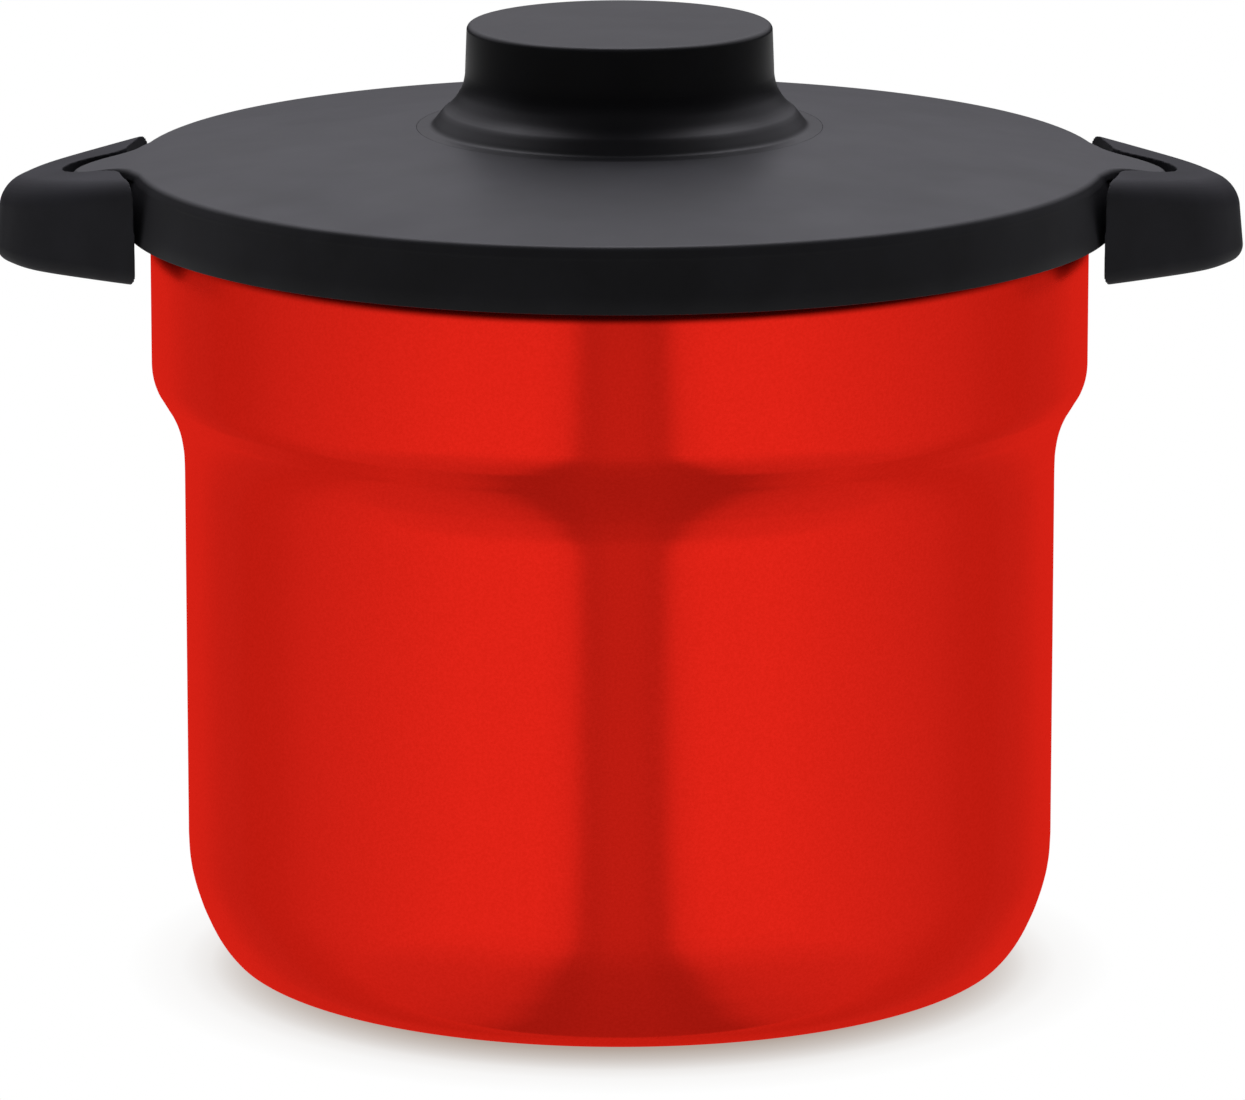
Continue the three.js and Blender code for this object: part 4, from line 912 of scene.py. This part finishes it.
def pot_lid_band():
    node = "pot_lid_band"
    bottom, top, radius = low(node).z, high(node).z, high(node).x
    sheet, inner, lip, edge = BAND["sheet"], BAND["inner"], BAND["lip"], BAND["edge"]
    seat = high("pot_body").z + GAP
    profile = filleted([
        (lip - sheet, bottom + edge), (lip - sheet, bottom, edge), (lip, bottom, edge), (lip, seat, edge),
        (radius, seat, edge * 2), (radius, top, edge * 2), (inner, top, edge), (inner, top - sheet),
        (radius - sheet, top - sheet), (radius - sheet, seat + sheet),
        (lip - sheet, seat + sheet, edge)], 4)
    return dress(revolved("lid_band", profile), STEEL, node)


def pot_lid_knob():
    node = "pot_lid_knob"
    bottom, top, radius = low(node).z, high(node).z, high(node).x
    neck, hole, depth, tall = KNOP["neck"], KNOP["hole"], KNOP["depth"], top - bottom
    under, under_rise = KNOP["under"]
    side = KNOP["side_rounding"]
    profile = filleted([
        (hole, bottom), (neck, bottom, KNOP["foot_rounding"]),
        (neck, bottom + tall * KNOP["neck_rise"], KNOP["neck_rounding"]),
        (radius * under, bottom + tall * under_rise, side),
        (radius, bottom + tall * KNOP["widest_rise"], side),
        (radius * KNOP["shoulder"], top - KNOP["drop"], KNOP["top_rounding"]),
        (radius * KNOP["flat"], top)], 8)
    profile += [(0, top), (0, bottom + depth), (hole, bottom + depth)]
    return dress(revolved("glass_lid_knob", profile, SIDES // 2), BLACK, node)


# The room

FLOOR_RADIUS = 0.6
# The floor's contact shadow is painted, not cast: the floor glows white and is darkened towards a point 15
# mm before the object's axis
SHADOW_CENTRE = (0, -15 * MM, 0)
SHADOW_REACH = 140 * MM
SHADOW_STOPS = [
    (0.6, 0), (0.65, 0.06), (0.71, 0.29), (0.743, 0.45), (0.765, 0.57), (0.793, 0.74), (0.85, 0.9),
    (0.957, 1)]
SHADOW_TINT = (0.42, 0.345, 0.295, 1)
WHITE = (1, 1, 1, 1)
# The studio's brightness below the horizon: across the front, round the object, and down to the ground
FRONT_STOPS = [(0.05, 0.68), (0.115, 0.635), (0.155, 0.65), (0.2, 0.83), (0.23, 0.92), (0.34, 1)]
AROUND_STOPS = [
    (0.22, 1), (0.372, 0.888), (0.5, 0.79), (0.57, 0.71), (0.65, 0.69), (0.73, 0.735), (0.82, 0.86),
    (1, 0.93)]
GROUND_STOPS = [(0.27, 1), (0.4, 0.9), (0.62, 0.8), (0.95, 0.75)]
# Above the horizon, by height, before and behind the object
DARK_STOPS = [(0, 0.02), (0.3, 0.03), (0.5, 0.35), (0.76, 0.6), (0.86, 0.1), (1, 0.1)]
BACK_STOPS = [
    (0, 0), (0.1, 0.03), (0.2, 0.6), (0.42, 1.3), (0.6, 1.8), (0.72, 3), (0.8, 8), (0.9, 8), (0.94, 1),
    (1, 0.1)]
SKY_TINT = (0.97, 0.955, 1.04, 1)
# The front's dark strip stands this far to the right and widens this fast towards the ground
FRONT_TURN = 0.018
FRONT_SPREAD = 1.2
# Where the sky changes from front to back, along Y, and the ground to sky, along Z
SKY_CHANGE = (-0.05, 0.25)
HORIZON = (-0.16, -0.08)


def floor():
    rim = [(FLOOR_RADIUS * math.cos(a), FLOOR_RADIUS * math.sin(a), 0) for a in full_turn(96)]
    disc = mesh_piece("floor", rim, [tuple(range(len(rim)))])
    material = bpy.data.materials.new("floor")
    material.use_nodes = True
    material.node_tree.nodes.clear()
    nodes = Nodes(material.node_tree)
    place = nodes.make("ShaderNodeTexCoord").outputs["Object"]
    centre = nodes.make("ShaderNodeVectorMath", {0: place, 1: SHADOW_CENTRE}, operation="SUBTRACT")
    flat = nodes.make("ShaderNodeVectorMath", {0: centre.outputs[0], 1: (1, 1, 0)}, operation="MULTIPLY")
    away = nodes.math("DIVIDE", nodes.length(flat.outputs[0]), SHADOW_REACH)
    # Painted shadow: the floor's glow is mixed towards the shadow tint by distance from the shadow centre
    tint = nodes.mixed(nodes.ramp(away, SHADOW_STOPS), SHADOW_TINT, WHITE)
    glow = nodes.make("ShaderNodeEmission", {"Color": tint}).outputs[0]
    rays = nodes.make("ShaderNodeLightPath").outputs["Is Glossy Ray"]
    facing = nodes.make("ShaderNodeNewGeometry").outputs["Backfacing"]
    unseen = nodes.math("MAXIMUM", facing, rays)
    clear = nodes.make("ShaderNodeBsdfTransparent").outputs[0]
    shown = nodes.make("ShaderNodeMixShader", {0: unseen, 1: glow, 2: clear})
    nodes.make("ShaderNodeOutputMaterial", {"Surface": shown.outputs[0]})
    disc.data.materials.append(material)


def studio():
    world = bpy.data.worlds.new("studio")
    bpy.context.scene.world = world
    world.use_nodes = True
    world.node_tree.nodes.clear()
    nodes = Nodes(world.node_tree)
    x, y, z = nodes.split(nodes.make("ShaderNodeTexCoord").outputs["Generated"])
    depth = nodes.math("MULTIPLY", z, -1)
    turn = nodes.math("ABSOLUTE", nodes.math("ARCTAN2", x, nodes.math("MULTIPLY", y, -1)))
    around = nodes.ramp(nodes.math("DIVIDE", turn, math.pi), AROUND_STOPS)
    steep = nodes.math("MAXIMUM", nodes.math("SUBTRACT", depth, math.sin(ELEVATION)), 0)
    spread = nodes.math("MULTIPLY_ADD", steep, FRONT_SPREAD, 1)
    across = nodes.math("DIVIDE", nodes.math("ABSOLUTE", nodes.math("SUBTRACT", x, FRONT_TURN)), spread)
    behind = nodes.math("GREATER_THAN", y, 0)
    front = nodes.ramp(nodes.math("ADD", across, behind), FRONT_STOPS)
    ground = nodes.ramp(depth, GROUND_STOPS)
    below = nodes.mixed(1.0, nodes.mixed(1.0, around, ground, "DARKEN"), front, "MULTIPLY")
    sky = nodes.mixed(nodes.ranged(y, *SKY_CHANGE), nodes.ramp(z, DARK_STOPS), nodes.ramp(z, BACK_STOPS))
    above = nodes.mixed(1.0, sky, SKY_TINT, "MULTIPLY")
    room = nodes.mixed(nodes.ranged(z, *HORIZON), below, above)
    rays = nodes.make("ShaderNodeLightPath").outputs["Is Camera Ray"]
    background = nodes.make("ShaderNodeBackground", {"Color": nodes.mixed(rays, room, WHITE)})
    nodes.make("ShaderNodeOutputWorld", {"Surface": background.outputs[0]})


def camera():
    data = bpy.data.cameras.new("camera")
    data.sensor_width = SENSOR_WIDTH
    data.lens = FOCAL_PIXELS * SENSOR_WIDTH / IMAGE_WIDTH
    data.clip_end = VIEW_END
    lens = bpy.data.objects.new("camera", data)
    bpy.context.scene.collection.objects.link(lens)
    target = Vector((0, 0, TARGET_Z))
    back = Vector((0, -math.cos(ELEVATION), math.sin(ELEVATION)))
    up = Vector((0, math.sin(ELEVATION), math.cos(ELEVATION)))
    place = target + back * DISTANCE
    aim = target + (Vector((1, 0, 0)) * AIM_RIGHT_PIXELS - up * AIM_DOWN_PIXELS) / FOCAL_PIXELS * DISTANCE
    lens.location = place
    lens.rotation_mode = "QUATERNION"
    lens.rotation_quaternion = (aim - place).to_track_quat("-Z", "Y")
    bpy.context.scene.camera = lens


def carried_nodes():
    """Gives every CAD node that stays its material."""
    for name, node in frame["nodes"].items():
        node.data.materials.clear()
        node.data.materials.append(MATERIAL_OF_SLOT[slot_of_node[name]])
        shade(node, 40)


carried_nodes()
outer_shell()
inner_vessel()
outer_bottom()
seal_cover()
collar_ring()
lid_top()
lid_knob()
lid_inner_plate()
lid_seal()
for side in (1, -1):
    handle_shell(side)
    handle_cover(side)
pot_body()
pot_base()
bail_wire()
bail_grip()
pot_lid_glass()
pot_lid_band()
pot_lid_knob()
camera()
floor()
studio()
bpy.context.scene.view_settings.view_transform = "Standard"
